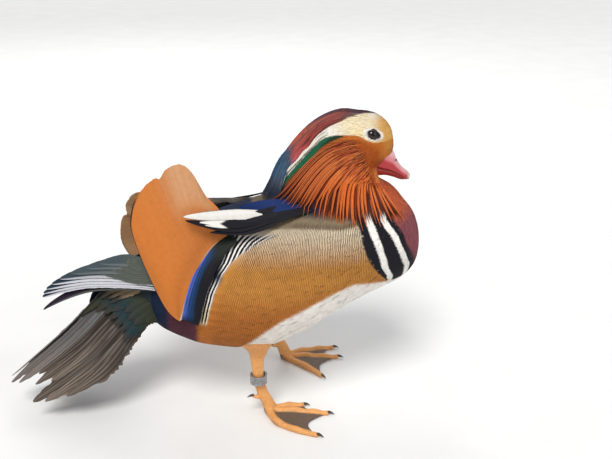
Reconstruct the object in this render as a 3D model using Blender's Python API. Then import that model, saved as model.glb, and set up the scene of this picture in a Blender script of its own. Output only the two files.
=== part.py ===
"""A mandarin drake standing with one sail raised, life size, as a still display model.

The bird heads along +X with its left side at +Y. Sizes are in millimetres in a design frame
whose origin lies on the floor between the feet, and become metres as each mesh is made.
At the end all is moved so that the origin is the middle of the model's footprint box.
"""

import math
import random

import bmesh
import bpy
from mathutils import Matrix, Vector
from mathutils.bvhtree import BVHTree

MM = 0.001
GAP = 0.3
RIGHT = -1
LEFT = 1
SIDES = ((RIGHT, "right"), (LEFT, "left"))

# The exact solver fails where hundreds of feathers cross, and the other one is used there.
PLAIN_SOLVER = "EXACT"
CROSSING_SOLVER = "MANIFOLD"

# The head is turned towards the bird's right and rolled, about a pivot low in the neck.
HEAD_PIVOT = Vector((20.0, 0.0, 155.0))
HEAD_YAW = math.radians(-10)
HEAD_ROLL = math.radians(-12)
BEND_START = 157.0
BEND_LENGTH = 33.0

# Trunk: x, half width, half height and height of the middle, from breast to rump.
TORSO_ROWS = (
    (88.5, 5, 6, 119),
    (84, 20, 21, 119.5),
    (76, 31, 30.5, 121),
    (66.5, 40, 38, 124),
    (47, 50, 46, 125),
    (24, 58, 52, 120.5),
    (-5, 62, 54, 106),
    (-34, 62, 55, 97.5),
    (-68, 52, 48.5, 94),
    (-84, 41, 41, 90.5),
    (-103, 26, 27, 86),
    (-112, 13, 15, 85),
)
TORSO_STATIONS = 17
TORSO_SIDES = 24

# Neck: height, x of the middle, half length and half width.
NECK_ROWS = (
    (138, 21, 42, 39),
    (148, 20, 42, 35.5),
    (156, 17, 41.5, 31),
    (166, 19.5, 39, 26.5),
    (176, 21, 35.5, 23),
    (186, 23, 30, 20.5),
    (194, 25, 23, 17),
)
NECK_STATIONS = 7
NECK_SIDES = 22

# Head: x, half width, then the heights of top, widest level and underside.
HEAD_ROWS = (
    (67, 3.5, 196, 191.5, 187),
    (65.5, 7, 203, 192, 183),
    (62.5, 10, 208, 192.5, 179),
    (57, 14, 213, 193, 174),
    (49, 17.5, 215.8, 193, 168),
    (40, 19.5, 216.4, 192, 165),
    (27, 19.5, 215.0, 190, 163),
    (12.7, 17.5, 208.2, 187, 163),
    (5, 16, 201.8, 184, 163),
    (-6, 12.5, 188.2, 178, 162),
    (-12.8, 9, 179.5, 173, 161),
    (-18, 5, 169, 165, 159),
)
HEAD_STATIONS = 15
HEAD_SIDES = 20

# Planes that part the body: each is given by two points of its line in the side view.
NECK_BASE = ((-30.0, 158.0), (80.0, 146.0))
HEAD_BASE = ((-22.0, 172.0), (56.0, 167.5))

# Bill: culmen and cutting edge in the side view, from root to tip, with half widths.
CULMEN = ((60, 191), (67, 186.7), (69.4, 181.6), (73.2, 175.6), (77.5, 171.9), (80.3, 168.8))
TOMIUM = ((50, 177.5), (58, 174.6), (64, 173.0), (70, 170.3), (75.5, 166.9), (79.6, 165.4))
KEEL = ((50, 169.5), (56, 168.2), (62, 168.2), (68, 166.6), (73, 164.6), (76.6, 164.2))
BILL_WIDTHS = (7.4, 7.0, 6.0, 5.2, 4.8, 2.6)
LOWER_BILL_WIDTHS = (6.0, 5.6, 4.9, 4.3, 3.8, 2.0)
NOSTRIL = (69.6, 180.0)
NOSTRIL_SIZE = (1.9, 0.8)

# Eye: place in the side view, ball radius, how far it stands proud, and the lids' opening.
EYE = (52.2, 198.6)
EYE_RADIUS = 5.2
EYE_PROUD = 1.1
LID_HALF_LENGTH = 4.7
LID_HALF_HEIGHT = 3.7
LID_THICKNESS = 0.9

# Sail: the shaft from root to tip, and the outer rim of its broad web, on the right wing.
SAIL_SHAFT = ((-51, 34, 141), (-65, 40, 133), (-74.5, 45, 120), (-83, 46, 101), (-88.5, 42, 82))
SAIL_RIM = (
    (-56, 31, 150),
    (-65, 27, 161),
    (-74, 24, 170),
    (-87, 22, 186),
    (-99, 24, 175),
    (-109, 25, 171),
    (-118, 28, 152),
    (-117, 31, 135),
    (-104, 38, 112),
    (-90, 42, 83),
)
SAIL_OUTER_WEB = 6.0
SAIL_THICKNESS = 0.8
SAIL_ROWS = 14
SAIL_COLUMNS = 5
LEFT_SAIL_TURN = math.radians(37.5)
LEFT_SAIL_SHIFT = Vector((-13.4, 0.0, -3.7))

# Legs: height, x, sideways place, half length and half width of each level, to the sole.
RIGHT_LEG = (
    (70, -38, 32, 17, 13),
    (58, -36, 34, 12.5, 10),
    (51, -35, 35, 7.5, 6.2),
    (45, -35.5, 35.3, 5.4, 4.2),
    (38, -35.5, 35.6, 4.5, 3.2),
    (29, -35, 36, 4.2, 3.0),
    (18, -32.5, 36, 4.3, 3.1),
    (10, -29, 36, 4.9, 3.9),
    (4, -27, 36, 5.0, 4.3),
    (0, -27, 36, 4.2, 3.6),
)
LEFT_LEG = (
    (70, -22, 33, 17, 13),
    (58, -19, 35, 12.5, 10),
    (51, -17.5, 37, 7.5, 6.2),
    (45, -17, 38.5, 5.4, 4.2),
    (38, -16, 40, 4.5, 3.2),
    (29, -14, 42, 4.2, 3.0),
    (18, -11, 44, 4.3, 3.1),
    (10, -8, 45, 4.9, 3.9),
    (4, -6, 45, 5.0, 4.3),
    (0, -6, 45, 4.2, 3.6),
)
ANKLE = 17.0
LEG_STATIONS = 16
LEG_SIDES = 10

# Toes from hub to tip, seen from above. Front toes lie on the floor and the hind toe is raised.
RIGHT_TOES = {
    "inner": ((-27, -34), (-12, -32), (-1, -32)),
    "middle": ((-26, -37), (-9, -40), (5, -43.5), (15, -46)),
    "outer": ((-28, -39), (-23, -54), (-11, -65), (3, -73.5)),
    "hind": ((-31, -36), (-35.5, -36.2), (-39.5, -36.5)),
}
LEFT_TOES = {
    "inner": ((-6, 43), (8, 26), (19, 9)),
    "middle": ((-5, 45), (11, 43), (25, 40.5), (37, 38.5)),
    "outer": ((-6, 47), (9, 52), (23, 54.5), (36, 55.5)),
    "hind": ((-10, 44), (-14, 42.5), (-17.5, 41)),
}
HIND_TOE_HEIGHT = 11.0
TOE_RADIUS = 3.1
TOE_TIP_RADIUS = 1.9
HIND_TOE_SHARE = 0.72
WEB_THICKNESS = 0.8
CLAW_LENGTH = 5.0

# Leg band: a plain metal ring round the right shank.
BAND_PLACE = 5 / 9
BAND_LENGTH = 6.8
BAND_INNER = 4.8
BAND_OUTER = 6.2

# Folded wing: middle line on the right side and half height, before it is cut by the trunk.
WING_LINE = ((-50, 32, 137), (-64, 38, 127), (-80, 39, 112), (-98, 29, 106), (-114, 18, 107))
WING_HALF_HEIGHTS = (5, 12, 17, 15, 10)
WING_HALF_DEPTH = 5.0
FLANK_EDGE = ((-46, 37, 139), (-56, 41, 131.5), (-63, 45, 124), (-69, 49, 113), (-74, 50.5, 96), (-76, 48, 80))
SECONDARY_SHARES = (0.42, 0.66, 0.88)
SECONDARY_HALF_WIDTH = 3.6

# Primaries of the right wing, each line from the longest and lowest vane to the shortest.
PRIMARY_COUNT = 6
PRIMARY_ROOTS = ((-104, 25, 99), (-104.5, 22, 105), (-106, 17, 114))
PRIMARY_BENDS = ((-150, 8, 95), (-145, 8, 104), (-124, 11, 118.5))
PRIMARY_TIPS = ((-187, -3, 78), (-181, -1, 88), (-171, 1, 98), (-157, 3, 107), (-143, 6, 113))
PRIMARY_HALF_WIDTHS = (5.4, 4.6)
LEFT_PRIMARY_SHIFT = Vector((6.0, 14.0, -4.0))

# Tail: middle line of the central vane and of the outermost right vane, from root to tip.
TAIL_CORE = ((-96, 0, 86, 23, 23), (-112, 0, 87, 17, 19), (-126, 0, 80, 12, 12), (-140, 0, 71, 5, 5))
TAIL_CENTRE = ((-106, 3, 100), (-138, 3, 89), (-170, 3, 60), (-214, 4, 22))
TAIL_EDGE = ((-104, 15, 78), (-126, 25, 60), (-150, 34, 38), (-191, 34, 13))
TAIL_VANES = 5
TAIL_HALF_WIDTH = 8.0
TAIL_ARCH = 3.5
TAIL_STEP = 1.4
COVERT_VANES = 3

# Scapulars of the right side: middle line from root to tip, then half width.
SCAPULARS = (
    (((4, 41, 146), (-20, 41, 144.5), (-42, 41.5, 140), (-56, 43, 138)), 4.6),
    (((-2, 37, 147), (-25, 37, 147), (-48, 40, 143), (-75, 44.5, 145)), 5.2),
    (((-14, 31, 147), (-36, 34, 147), (-58, 39, 146), (-76, 43, 148.5)), 4.4),
    (((-8, 26, 149), (-32, 27, 151), (-56, 35, 148.5), (-84, 41, 152)), 5.6),
    (((0, 36, 147), (-12, 36, 151), (-30, 34, 150)), 6.2),
    (((-6, 26, 149), (-20, 25, 153), (-38, 22, 150.5)), 6.4),
)

LEFT_SCAPULAR_FALL = Vector((0.0, 3.0, -17.0))

# Feathers at the rear edge of the flank.
FLANK_VANES = 5
FLANK_VANE_LENGTH = 24.0

# Hackles of one side: where roots and tips lie in the side view.
HACKLE_ROOTS = ((34, 192.5), (40, 189.5), (46, 186), (50.5, 182), (53.5, 178), (54.5, 175.5))
HACKLE_TIPS = ((-15, 159), (-3, 151.5), (12, 149), (26, 146), (40, 143.5), (52, 141), (62, 143), (70, 149))
HACKLE_COUNT = 12
HACKLE_HALF_WIDTH = 3.5
HACKLE_HALF_DEPTH = 0.7
SHORT_HACKLE_COUNT = 4

# Crest: the line that its middle locks follow in the side view, from crown to tip.
CREST_LINE = ((44, 216), (27, 215), (12, 208), (-1, 196), (-12, 181), (-20.5, 166), (-26, 157))
CREST_SPREAD = (10, 13, 15, 16.5, 17.5, 18, 16)
CREST_LOCKS = 7
CREST_SHORT_LOCKS = 2
CREST_HALF_WIDTH = 3.4
CREST_HALF_DEPTH = 0.8

COLOURS = {
    "torso": (0.43, 0.22, 0.06, 0.8),
    "neck": (0.55, 0.16, 0.04, 0.8),
    "head": (0.50, 0.13, 0.04, 0.7),
    "bill": (0.62, 0.20, 0.17, 0.4),
    "eye": (0.02, 0.012, 0.008, 0.1),
    "sail": (0.65, 0.24, 0.06, 0.7),
    "wing": (0.10, 0.12, 0.16, 0.6),
    "tail": (0.09, 0.08, 0.07, 0.8),
    "leg": (0.80, 0.42, 0.16, 0.5),
    "claw": (0.05, 0.04, 0.04, 0.4),
    "band": (0.30, 0.30, 0.32, 0.35),
}


def clear_scene():
    for item in list(bpy.data.objects):
        bpy.data.objects.remove(item, do_unlink=True)


def material(name):
    red, green, blue, rough = COLOURS[name]
    made = bpy.data.materials.get(name)
    if made:
        return made
    made = bpy.data.materials.new(name)
    made.use_nodes = True
    shader = made.node_tree.nodes["Principled BSDF"]
    shader.inputs["Base Color"].default_value = (red, green, blue, 1.0)
    shader.inputs["Roughness"].default_value = rough
    shader.inputs["Metallic"].default_value = 1.0 if name == "band" else 0.0
    return made


def smooth_step(value):
    value = min(max(value, 0.0), 1.0)
    return value * value * (3 - 2 * value)


def along(rows, at):
    """A smooth curve through rows of numbers, read at 0 for the first and 1 for the last."""
    place = at * (len(rows) - 1)
    index = min(int(place), len(rows) - 2)
    part = place - index
    before = rows[max(index - 1, 0)]
    start = rows[index]
    end = rows[index + 1]
    after = rows[min(index + 2, len(rows) - 1)]
    out = []
    for a, b, c, d in zip(before, start, end, after):
        bend = 2 * b + (c - a) * part
        bend += (2 * a - 5 * b + 4 * c - d) * part**2
        bend += (3 * b - a - 3 * c + d) * part**3
        out.append(bend / 2)
    return out


def point_along(rows, at, side=1):
    x, y, z = along(rows, at)
    return Vector((x, side * y, z))


def posed(point):
    """Turns and rolls the head and upper neck, less and less towards the neck's base."""
    share = smooth_step((point.z - BEND_START) / BEND_LENGTH)
    turn = Matrix.Rotation(HEAD_YAW * share, 3, "Z") @ Matrix.Rotation(HEAD_ROLL * share, 3, "X")
    return HEAD_PIVOT + turn @ (point - HEAD_PIVOT)


def mesh_object(name, points, faces, kind="torso"):
    mesh = bpy.data.meshes.new(name)
    mesh.from_pydata([point * MM for point in points], [], faces)
    made = bpy.data.objects.new(name, mesh)
    bpy.context.scene.collection.objects.link(made)
    mesh.materials.append(material(kind))
    face_out(made)
    return made


def face_out(item):
    shape = bmesh.new()
    shape.from_mesh(item.data)
    bmesh.ops.recalc_face_normals(shape, faces=shape.faces)
    if shape.calc_volume(signed=True) < 0:
        bmesh.ops.reverse_faces(shape, faces=shape.faces)
    shape.to_mesh(item.data)
    shape.free()


def loft(name, rings, kind="torso"):
    """A closed skin over rings of equal count, with a fan to the middle of each end ring."""
    count = len(rings[0])
    points = [point for ring in rings for point in ring]
    faces = []
    for level in range(len(rings) - 1):
        for i in range(count):
            j = (i + 1) % count
            a = level * count + i
            b = level * count + j
            faces.append((a, b, b + count))
            faces.append((a, b + count, a + count))
    for level in (0, len(rings) - 1):
        middle = sum(rings[level], Vector()) / count
        points.append(middle)
        hub = len(points) - 1
        for i in range(count):
            faces.append((level * count + i, level * count + (i + 1) % count, hub))
    return mesh_object(name, points, faces, kind)


def ellipse(middle, across, up, half_width, half_height, count, low_height=None):
    low = half_height if low_height is None else low_height
    ring = []
    for i in range(count):
        angle = 2 * math.pi * i / count
        height = math.sin(angle)
        height *= half_height if height > 0 else low
        ring.append(middle + across * (half_width * math.cos(angle)) + up * height)
    return ring


def apply_boolean(item, operation, other=None, collection=None, solver=PLAIN_SOLVER):
    cut = item.modifiers.new("cut", "BOOLEAN")
    cut.operation = operation
    cut.solver = solver
    if collection:
        cut.operand_type = "COLLECTION"
        cut.collection = collection
    else:
        cut.object = other
    graph = bpy.context.evaluated_depsgraph_get()
    shape = bpy.data.meshes.new_from_object(item.evaluated_get(graph))
    item.modifiers.remove(cut)
    item.data = shape


def largest_shell(item):
    """Keeps only the closed surface that holds most, so that no scrap or sealed hollow is left."""
    shape = bmesh.new()
    shape.from_mesh(item.data)
    bmesh.ops.triangulate(shape, faces=shape.faces)
    bmesh.ops.dissolve_degenerate(shape, dist=1e-7, edges=shape.edges)
    bmesh.ops.triangulate(shape, faces=shape.faces)
    left = set(shape.faces)
    shells = []
    while left:
        seed = left.pop()
        shell = [seed]
        front = [seed]
        while front:
            face = front.pop()
            for edge in face.edges:
                for near in edge.link_faces:
                    if near in left:
                        left.remove(near)
                        shell.append(near)
                        front.append(near)
        shells.append(shell)
    shells.sort(key=shell_volume)
    loose = [face for shell in shells[:-1] for face in shell]
    bmesh.ops.delete(shape, geom=loose, context="FACES")
    flat = math.radians(0.4)
    bmesh.ops.dissolve_limit(shape, angle_limit=flat, verts=shape.verts, edges=shape.edges)
    bmesh.ops.triangulate(shape, faces=shape.faces)
    shape.to_mesh(item.data)
    shape.free()


def shell_volume(shell):
    total = 0.0
    for face in shell:
        a, b, c = (vert.co for vert in face.verts)
        total += a.dot(b.cross(c)) / 6
    return abs(total)


def union(item, others, solver=PLAIN_SOLVER):
    """Fuses closed meshes into the first one and removes them."""
    if not others:
        return item
    group = bpy.data.collections.new("pieces")
    bpy.context.scene.collection.children.link(group)
    for other in others:
        group.objects.link(other)
    apply_boolean(item, "UNION", collection=group, solver=solver)
    remove_all(others)
    bpy.data.collections.remove(group)
    largest_shell(item)
    return item


def copy_of(item, name):
    made = item.copy()
    made.data = item.data.copy()
    made.name = name
    bpy.context.scene.collection.objects.link(made)
    return made


def swell(item, by):
    """Moves each point out along its normal."""
    shape = bmesh.new()
    shape.from_mesh(item.data)
    shape.normal_update()
    moves = [vert.normal * (by * MM * vert.calc_shell_factor()) for vert in shape.verts]
    for vert, move in zip(shape.verts, moves):
        vert.co += move
    shape.to_mesh(item.data)
    shape.free()


def clear_tools(pieces, gap=GAP):
    """Copies of single pieces, swollen by the gap, to cut their neighbours with."""
    tools = [copy_of(piece, "tool") for piece in pieces]
    for tool in tools:
        swell(tool, gap)
        tool.hide_render = True
        tool.display_type = "WIRE"
    return tools


def cut_with(item, tools, solver=PLAIN_SOLVER):
    for tool in tools:
        apply_boolean(item, "DIFFERENCE", other=tool, solver=solver)
    largest_shell(item)


def cut_clear(item, other, solver=PLAIN_SOLVER):
    """Cuts away from one piece what another one takes up, with a thin gap."""
    tools = clear_tools([other])
    cut_with(item, tools, solver)
    remove_all(tools)


def remove_all(items):
    for item in items:
        bpy.data.objects.remove(item, do_unlink=True)


def half_space(line, above):
    """A large block on one side of a parting plane, kept half the gap away from it."""
    (x0, z0), (x1, z1) = line
    run = Vector((x1 - x0, 0, z1 - z0)).normalized()
    up = Vector((-run.z, 0, run.x))
    if not above:
        up = -up
    start = Vector((x0, 0, z0)) + up * (GAP / 2) - run * 200
    side = Vector((0, 150, 0))
    corners = []
    for lift in (0, 300):
        for across in (-1, 1):
            for reach in (0, 500):
                corners.append(start + up * lift + side * across + run * reach)
    faces = (
        (0, 1, 3, 2),
        (4, 6, 7, 5),
        (0, 4, 5, 1),
        (2, 3, 7, 6),
        (0, 2, 6, 4),
        (1, 5, 7, 3),
    )
    return mesh_object("block", corners, faces)


def keep_side(item, line, above):
    block = half_space(line, above)
    apply_boolean(item, "INTERSECT", other=block)
    bpy.data.objects.remove(block, do_unlink=True)
    largest_shell(item)


def bend_mesh(item):
    for vert in item.data.vertices:
        vert.co = posed(vert.co / MM) * MM


def set_kind(item, kind):
    item.data.materials.clear()
    item.data.materials.append(material(kind))


def torso_form():
    rings = []
    for step in range(TORSO_STATIONS):
        x, wide, tall, level = along(TORSO_ROWS, step / (TORSO_STATIONS - 1))
        middle = Vector((x, 0, level))
        rings.append(ellipse(middle, Vector((0, 1, 0)), Vector((0, 0, 1)), wide, tall, TORSO_SIDES))
    return loft("torso", rings)


def neck_form():
    rings = []
    for step in range(NECK_STATIONS):
        z, x, long, wide = along(NECK_ROWS, step / (NECK_STATIONS - 1))
        middle = Vector((x, 0, z))
        rings.append(ellipse(middle, Vector((1, 0, 0)), Vector((0, 1, 0)), long, wide, NECK_SIDES))
    return loft("neck", rings)


def head_form():
    rings = []
    for step in range(HEAD_STATIONS):
        x, wide, top, middle, low = along(HEAD_ROWS, step / (HEAD_STATIONS - 1))
        centre = Vector((x, 0, middle))
        up = Vector((0, 0, 1))
        ring = ellipse(centre, Vector((0, 1, 0)), up, wide, top - middle, HEAD_SIDES, middle - low)
        rings.append(ring)
    return loft("head", rings)


def make_body():
    """Trunk, neck and head as one form, parted by two thin slanting cuts."""
    whole = union(torso_form(), [neck_form(), head_form()])
    skin = skin_tree(whole)
    neck = copy_of(whole, "neck")
    head = copy_of(whole, "head")
    whole.name = "torso"
    keep_side(whole, NECK_BASE, above=False)
    keep_side(neck, NECK_BASE, above=True)
    keep_side(neck, HEAD_BASE, above=False)
    keep_side(head, HEAD_BASE, above=True)
    set_kind(neck, "neck")
    set_kind(head, "head")
    return whole, neck, head, skin


def skin_tree(item):
    points = [vert.co / MM for vert in item.data.vertices]
    faces = [tuple(face.vertices) for face in item.data.polygons]
    return BVHTree.FromPolygons(points, faces)


def side_hit(tree, x, z, side):
    """The place on the skin that is seen straight from one side."""
    hit = tree.ray_cast(Vector((x, side * 150, z)), Vector((0, -side, 0)))
    return hit[0], hit[1]


def bill_rings(edge, crest, widths, count, rise):
    """Half-round sections between a cutting edge and a ridge line in the side view."""
    rings = []
    stations = 9
    for step in range(stations):
        share = step / (stations - 1)
        low = Vector((along(edge, share)[0], 0, along(edge, share)[1]))
        high = Vector((along(crest, share)[0], 0, along(crest, share)[1]))
        half = along([(width,) for width in widths], share)[0]
        ring = []
        for i in range(count):
            angle = math.pi * i / (count - 1)
            across = Vector((0, -half * math.cos(angle), 0))
            ring.append(low + across + (high - low) * math.sin(angle) ** rise)
        rings.append(ring)
    return rings


def make_bill(tools):
    upper_rings = bill_rings(TOMIUM, CULMEN, BILL_WIDTHS, 11, 0.9)
    edge = [(x, z - 0.35) for x, z in TOMIUM]
    lower_rings = bill_rings(edge, KEEL, LOWER_BILL_WIDTHS, 9, 0.8)
    upper = loft("bill_upper", upper_rings, "bill")
    lower = loft("bill_lower", lower_rings, "bill")
    for side, _ in SIDES:
        cut_nostril(upper, side)
    for piece in (upper, lower):
        cut_with(piece, tools, CROSSING_SOLVER)
    return [upper, lower]


def ball(name, middle, size, kind="eye", segments=12, rings=8):
    made = []
    for level in range(1, rings):
        polar = math.pi * level / rings
        ring = []
        for i in range(segments):
            angle = 2 * math.pi * i / segments
            out = math.sin(polar)
            unit = Vector((out * math.cos(angle), math.cos(polar), out * math.sin(angle)))
            ring.append(middle + Vector((unit.x * size[0], unit.y * size[1], unit.z * size[2])))
        made.append(ring)
    return loft(name, made, kind)


def cut_nostril(upper, side):
    tree = skin_tree(upper)
    place, _ = side_hit(tree, NOSTRIL[0], NOSTRIL[1], side)
    if not place:
        return
    slot = ball("slot", place, (NOSTRIL_SIZE[0], 1.0, NOSTRIL_SIZE[1]), segments=10, rings=6)
    apply_boolean(upper, "DIFFERENCE", other=slot)
    bpy.data.objects.remove(slot, do_unlink=True)
    largest_shell(upper)


def lid_ring(place, out, radius_along, radius_up):
    """A raised oval rim round the eye, lying in the skin."""
    along_axis = Vector((1, 0, 0))
    along_axis = (along_axis - out * along_axis.dot(out)).normalized()
    up_axis = out.cross(along_axis)
    if up_axis.z < 0:
        up_axis = -up_axis
    turns, sides = 16, 5
    points = []
    faces = []
    for i in range(turns):
        angle = 2 * math.pi * i / turns
        spoke = along_axis * (math.cos(angle) * radius_along) + up_axis * (math.sin(angle) * radius_up)
        outward = spoke.normalized()
        for j in range(sides):
            turn = 2 * math.pi * j / sides
            rim = outward * math.cos(turn) * LID_THICKNESS + out * math.sin(turn) * LID_THICKNESS
            points.append(place + spoke + rim)
    for i in range(turns):
        for j in range(sides):
            a = i * sides + j
            b = i * sides + (j + 1) % sides
            c = ((i + 1) % turns) * sides + (j + 1) % sides
            d = ((i + 1) % turns) * sides + j
            faces.append((a, b, c))
            faces.append((a, c, d))
    return mesh_object("lid", points, faces, "head")


def make_eyes(head):
    """Each eyeball sits in its own socket, behind a raised oval of lids."""
    tree = skin_tree(head)
    eyes = []
    lids = []
    sockets = []
    for side, word in SIDES:
        place, out = side_hit(tree, EYE[0], EYE[1], side)
        middle = place + out * (EYE_PROUD - EYE_RADIUS)
        eyes.append(ball("eye_" + word, middle, (EYE_RADIUS,) * 3))
        sockets.append(ball("socket", middle, (EYE_RADIUS + GAP,) * 3))
        lids.append(lid_ring(place, out, LID_HALF_LENGTH, LID_HALF_HEIGHT))
    union(head, lids)
    for socket in sockets:
        apply_boolean(head, "DIFFERENCE", other=socket)
        bpy.data.objects.remove(socket, do_unlink=True)
    largest_shell(head)
    return eyes


def sheet_solid(name, grid, normals, thickness, kind):
    """A thin curved plate over a grid of points, split into triangles alike on both faces."""
    rows = len(grid)
    columns = len(grid[0])
    points = []
    for sign in (0.5, -0.5):
        for r in range(rows):
            for c in range(columns):
                points.append(grid[r][c] + normals[r][c] * (thickness * sign))
    under = rows * columns
    faces = []
    for r in range(rows - 1):
        for c in range(columns - 1):
            a = r * columns + c
            b = a + 1
            d = a + columns
            e = d + 1
            faces += [(a, b, e), (a, e, d), (a + under, e + under, b + under)]
            faces.append((a + under, d + under, e + under))
    rim = [c for c in range(columns)]
    rim += [r * columns + columns - 1 for r in range(1, rows)]
    rim += [(rows - 1) * columns + c for c in range(columns - 2, -1, -1)]
    rim += [r * columns for r in range(rows - 2, 0, -1)]
    for i, a in enumerate(rim):
        b = rim[(i + 1) % len(rim)]
        faces.append((a, a + under, b + under))
        faces.append((a, b + under, b))
    return mesh_object(name, points, faces, kind)


def grid_normals(grid):
    rows = len(grid)
    columns = len(grid[0])
    out = []
    for r in range(rows):
        line = []
        for c in range(columns):
            down = grid[min(r + 1, rows - 1)][c] - grid[max(r - 1, 0)][c]
            over = grid[r][min(c + 1, columns - 1)] - grid[r][max(c - 1, 0)]
            line.append(down.cross(over).normalized())
        out.append(line)
    return out


def sail_grid(side):
    """Outer web, shaft and broad inner web, ruled from the shaft to the rim."""
    grid = []
    for row in range(SAIL_ROWS):
        share = row / (SAIL_ROWS - 1)
        shaft = point_along(SAIL_SHAFT, share, side)
        rim = point_along(SAIL_RIM, share, side)
        reach = rim - shaft
        swell_out = Vector((0, side, 0)) * (reach.length * 0.10)
        outer = -reach.normalized() * (SAIL_OUTER_WEB * math.sin(math.pi * (0.12 + 0.8 * share)))
        line = [shaft + outer]
        for column in range(SAIL_COLUMNS):
            part = column / (SAIL_COLUMNS - 1)
            line.append(shaft + reach * part + swell_out * math.sin(math.pi * part))
        grid.append(line)
    return grid


def make_sails():
    made = []
    for side, word in SIDES:
        grid = sail_grid(side)
        if side == LEFT:
            root = point_along(SAIL_SHAFT, 0, side)
            turn = Matrix.Rotation(-LEFT_SAIL_TURN, 3, "Y")
            root += LEFT_SAIL_SHIFT
            grid = [[turn @ (point + LEFT_SAIL_SHIFT - root) + root for point in line] for line in grid]
        normals = grid_normals(grid)
        made.append(sheet_solid("sail_" + word, grid, normals, SAIL_THICKNESS, "sail"))
    return made


def frames(path, hints):
    """The directions across and out of the surface at each point of a path."""
    made = []
    last = len(path) - 1
    for i, point in enumerate(path):
        run = (path[min(i + 1, last)] - path[max(i - 1, 0)]).normalized()
        out = (hints[i] - run * hints[i].dot(run)).normalized()
        made.append((point, run.cross(out), out))
    return made


def blade(path, hints, widths, depths, droop, kind):
    """A flat feather with a raised middle, split into triangles alike on both faces."""
    points = []
    for i, (middle, across, out) in enumerate(frames(path, hints)):
        fall = out * (droop * widths[i])
        left = middle - across * widths[i] - fall
        right = middle + across * widths[i] - fall
        over = out * depths[i]
        points += [left + over, middle + over, right + over]
        points += [right - over, middle - over, left - over]
    faces = []
    for i in range(len(path) - 1):
        a = i * 6
        b = a + 6
        faces += [(a, a + 1, b + 1), (a, b + 1, b), (a + 1, a + 2, b + 2), (a + 1, b + 2, b + 1)]
        faces += [(a + 5, b + 4, a + 4), (a + 5, b + 5, b + 4)]
        faces += [(a + 4, b + 3, a + 3), (a + 4, b + 4, b + 3)]
        faces += [(a + 2, a + 3, b + 3), (a + 2, b + 3, b + 2)]
        faces += [(a + 5, a, b), (a + 5, b, b + 5)]
    for a in (0, (len(path) - 1) * 6):
        faces += [(a, a + 1, a + 4), (a, a + 4, a + 5), (a + 1, a + 2, a + 3), (a + 1, a + 3, a + 4)]
    return mesh_object("blade", points, faces, kind)


def lock(path, hints, widths, depths, kind):
    """A slim tapered lock of feather with four sides."""
    points = []
    for i, (middle, across, out) in enumerate(frames(path, hints)):
        points += [middle - across * widths[i], middle + out * depths[i]]
        points += [middle + across * widths[i], middle - out * depths[i]]
    faces = []
    for i in range(len(path) - 1):
        for j in range(4):
            a = i * 4 + j
            b = i * 4 + (j + 1) % 4
            faces += [(a, b, b + 4), (a, b + 4, a + 4)]
    for a in (0, (len(path) - 1) * 4):
        faces += [(a, a + 1, a + 2), (a, a + 2, a + 3)]
    return mesh_object("lock", points, faces, kind)


def taper(widest, peak, tip, count):
    """Half widths along a feather that is fullest at one share of its length."""
    out = []
    for step in range(count):
        share = step / (count - 1)
        if share < peak:
            out.append(widest * (0.55 + 0.45 * smooth_step(share / peak)))
        else:
            out.append(widest * (1 - (1 - tip) * ((share - peak) / (1 - peak)) ** 1.8))
    return out


def read_path(rows, side, steps):
    return [point_along(rows, step / (steps - 1), side) for step in range(steps)]


def flat_out(side, lean):
    """The outward direction of a feather that leans from the back, at 0, to the side, at 90 degrees."""
    angle = math.radians(lean)
    return Vector((0, side * math.sin(angle), math.cos(angle)))


def secondary_forms(side):
    made = []
    steps = 5
    for number, share in enumerate(SECONDARY_SHARES):
        path = []
        for step in range(steps):
            at = 0.04 + (0.97 - 0.05 * number) * step / (steps - 1)
            shaft = point_along(SAIL_SHAFT, at, side)
            edge = point_along(FLANK_EDGE, at, side)
            path.append(shaft.lerp(edge, share) + Vector((-0.5, side * (1.0 + 0.9 * number), 0)))
        widths = taper(SECONDARY_HALF_WIDTH, 0.5, 0.25, steps)
        hints = [flat_out(side, 75)] * steps
        made.append(blade(path, hints, widths, [0.4] * steps, 0.15, "wing"))
    return made


def primary_forms(side):
    """Vanes stacked like a hand of cards, the longest lowest and innermost."""
    made = []
    steps = 5
    out = flat_out(side, 50)
    for number in range(PRIMARY_COUNT):
        share = number / (PRIMARY_COUNT - 1)
        rows = [along(line, share) for line in (PRIMARY_ROOTS, PRIMARY_BENDS, PRIMARY_TIPS)]
        path = [point + out * (0.75 * number) for point in read_path(rows, side, steps)]
        if side == LEFT:
            path = [point + LEFT_PRIMARY_SHIFT * (i / (steps - 1)) for i, point in enumerate(path)]
        widest = PRIMARY_HALF_WIDTHS[0] + (PRIMARY_HALF_WIDTHS[1] - PRIMARY_HALF_WIDTHS[0]) * share
        widths = taper(widest, 0.45, 0.12, steps)
        made.append(blade(path, [out] * steps, widths, [0.45, 0.45, 0.4, 0.35, 0.25], 0.12, "wing"))
    return made


def wing_pieces():
    """The core, secondaries and primaries of each wing, not yet fused."""
    made = []
    for side, word in SIDES:
        rings = []
        stations = 9
        for step in range(stations):
            share = step / (stations - 1)
            middle = point_along(WING_LINE, share, side)
            ahead = point_along(WING_LINE, min(share + 0.05, 1), side)
            behind = point_along(WING_LINE, max(share - 0.05, 0), side)
            run = (ahead - behind).normalized()
            across = run.cross(Vector((0, 0, 1))).normalized()
            up = across.cross(run).normalized()
            half = along([(height,) for height in WING_HALF_HEIGHTS], share)[0]
            rings.append(ellipse(middle, across, up, WING_HALF_DEPTH, half, 12))
        core = loft("wing_" + word, rings, "wing")
        made.append([core] + secondary_forms(side) + primary_forms(side))
    return made


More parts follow.
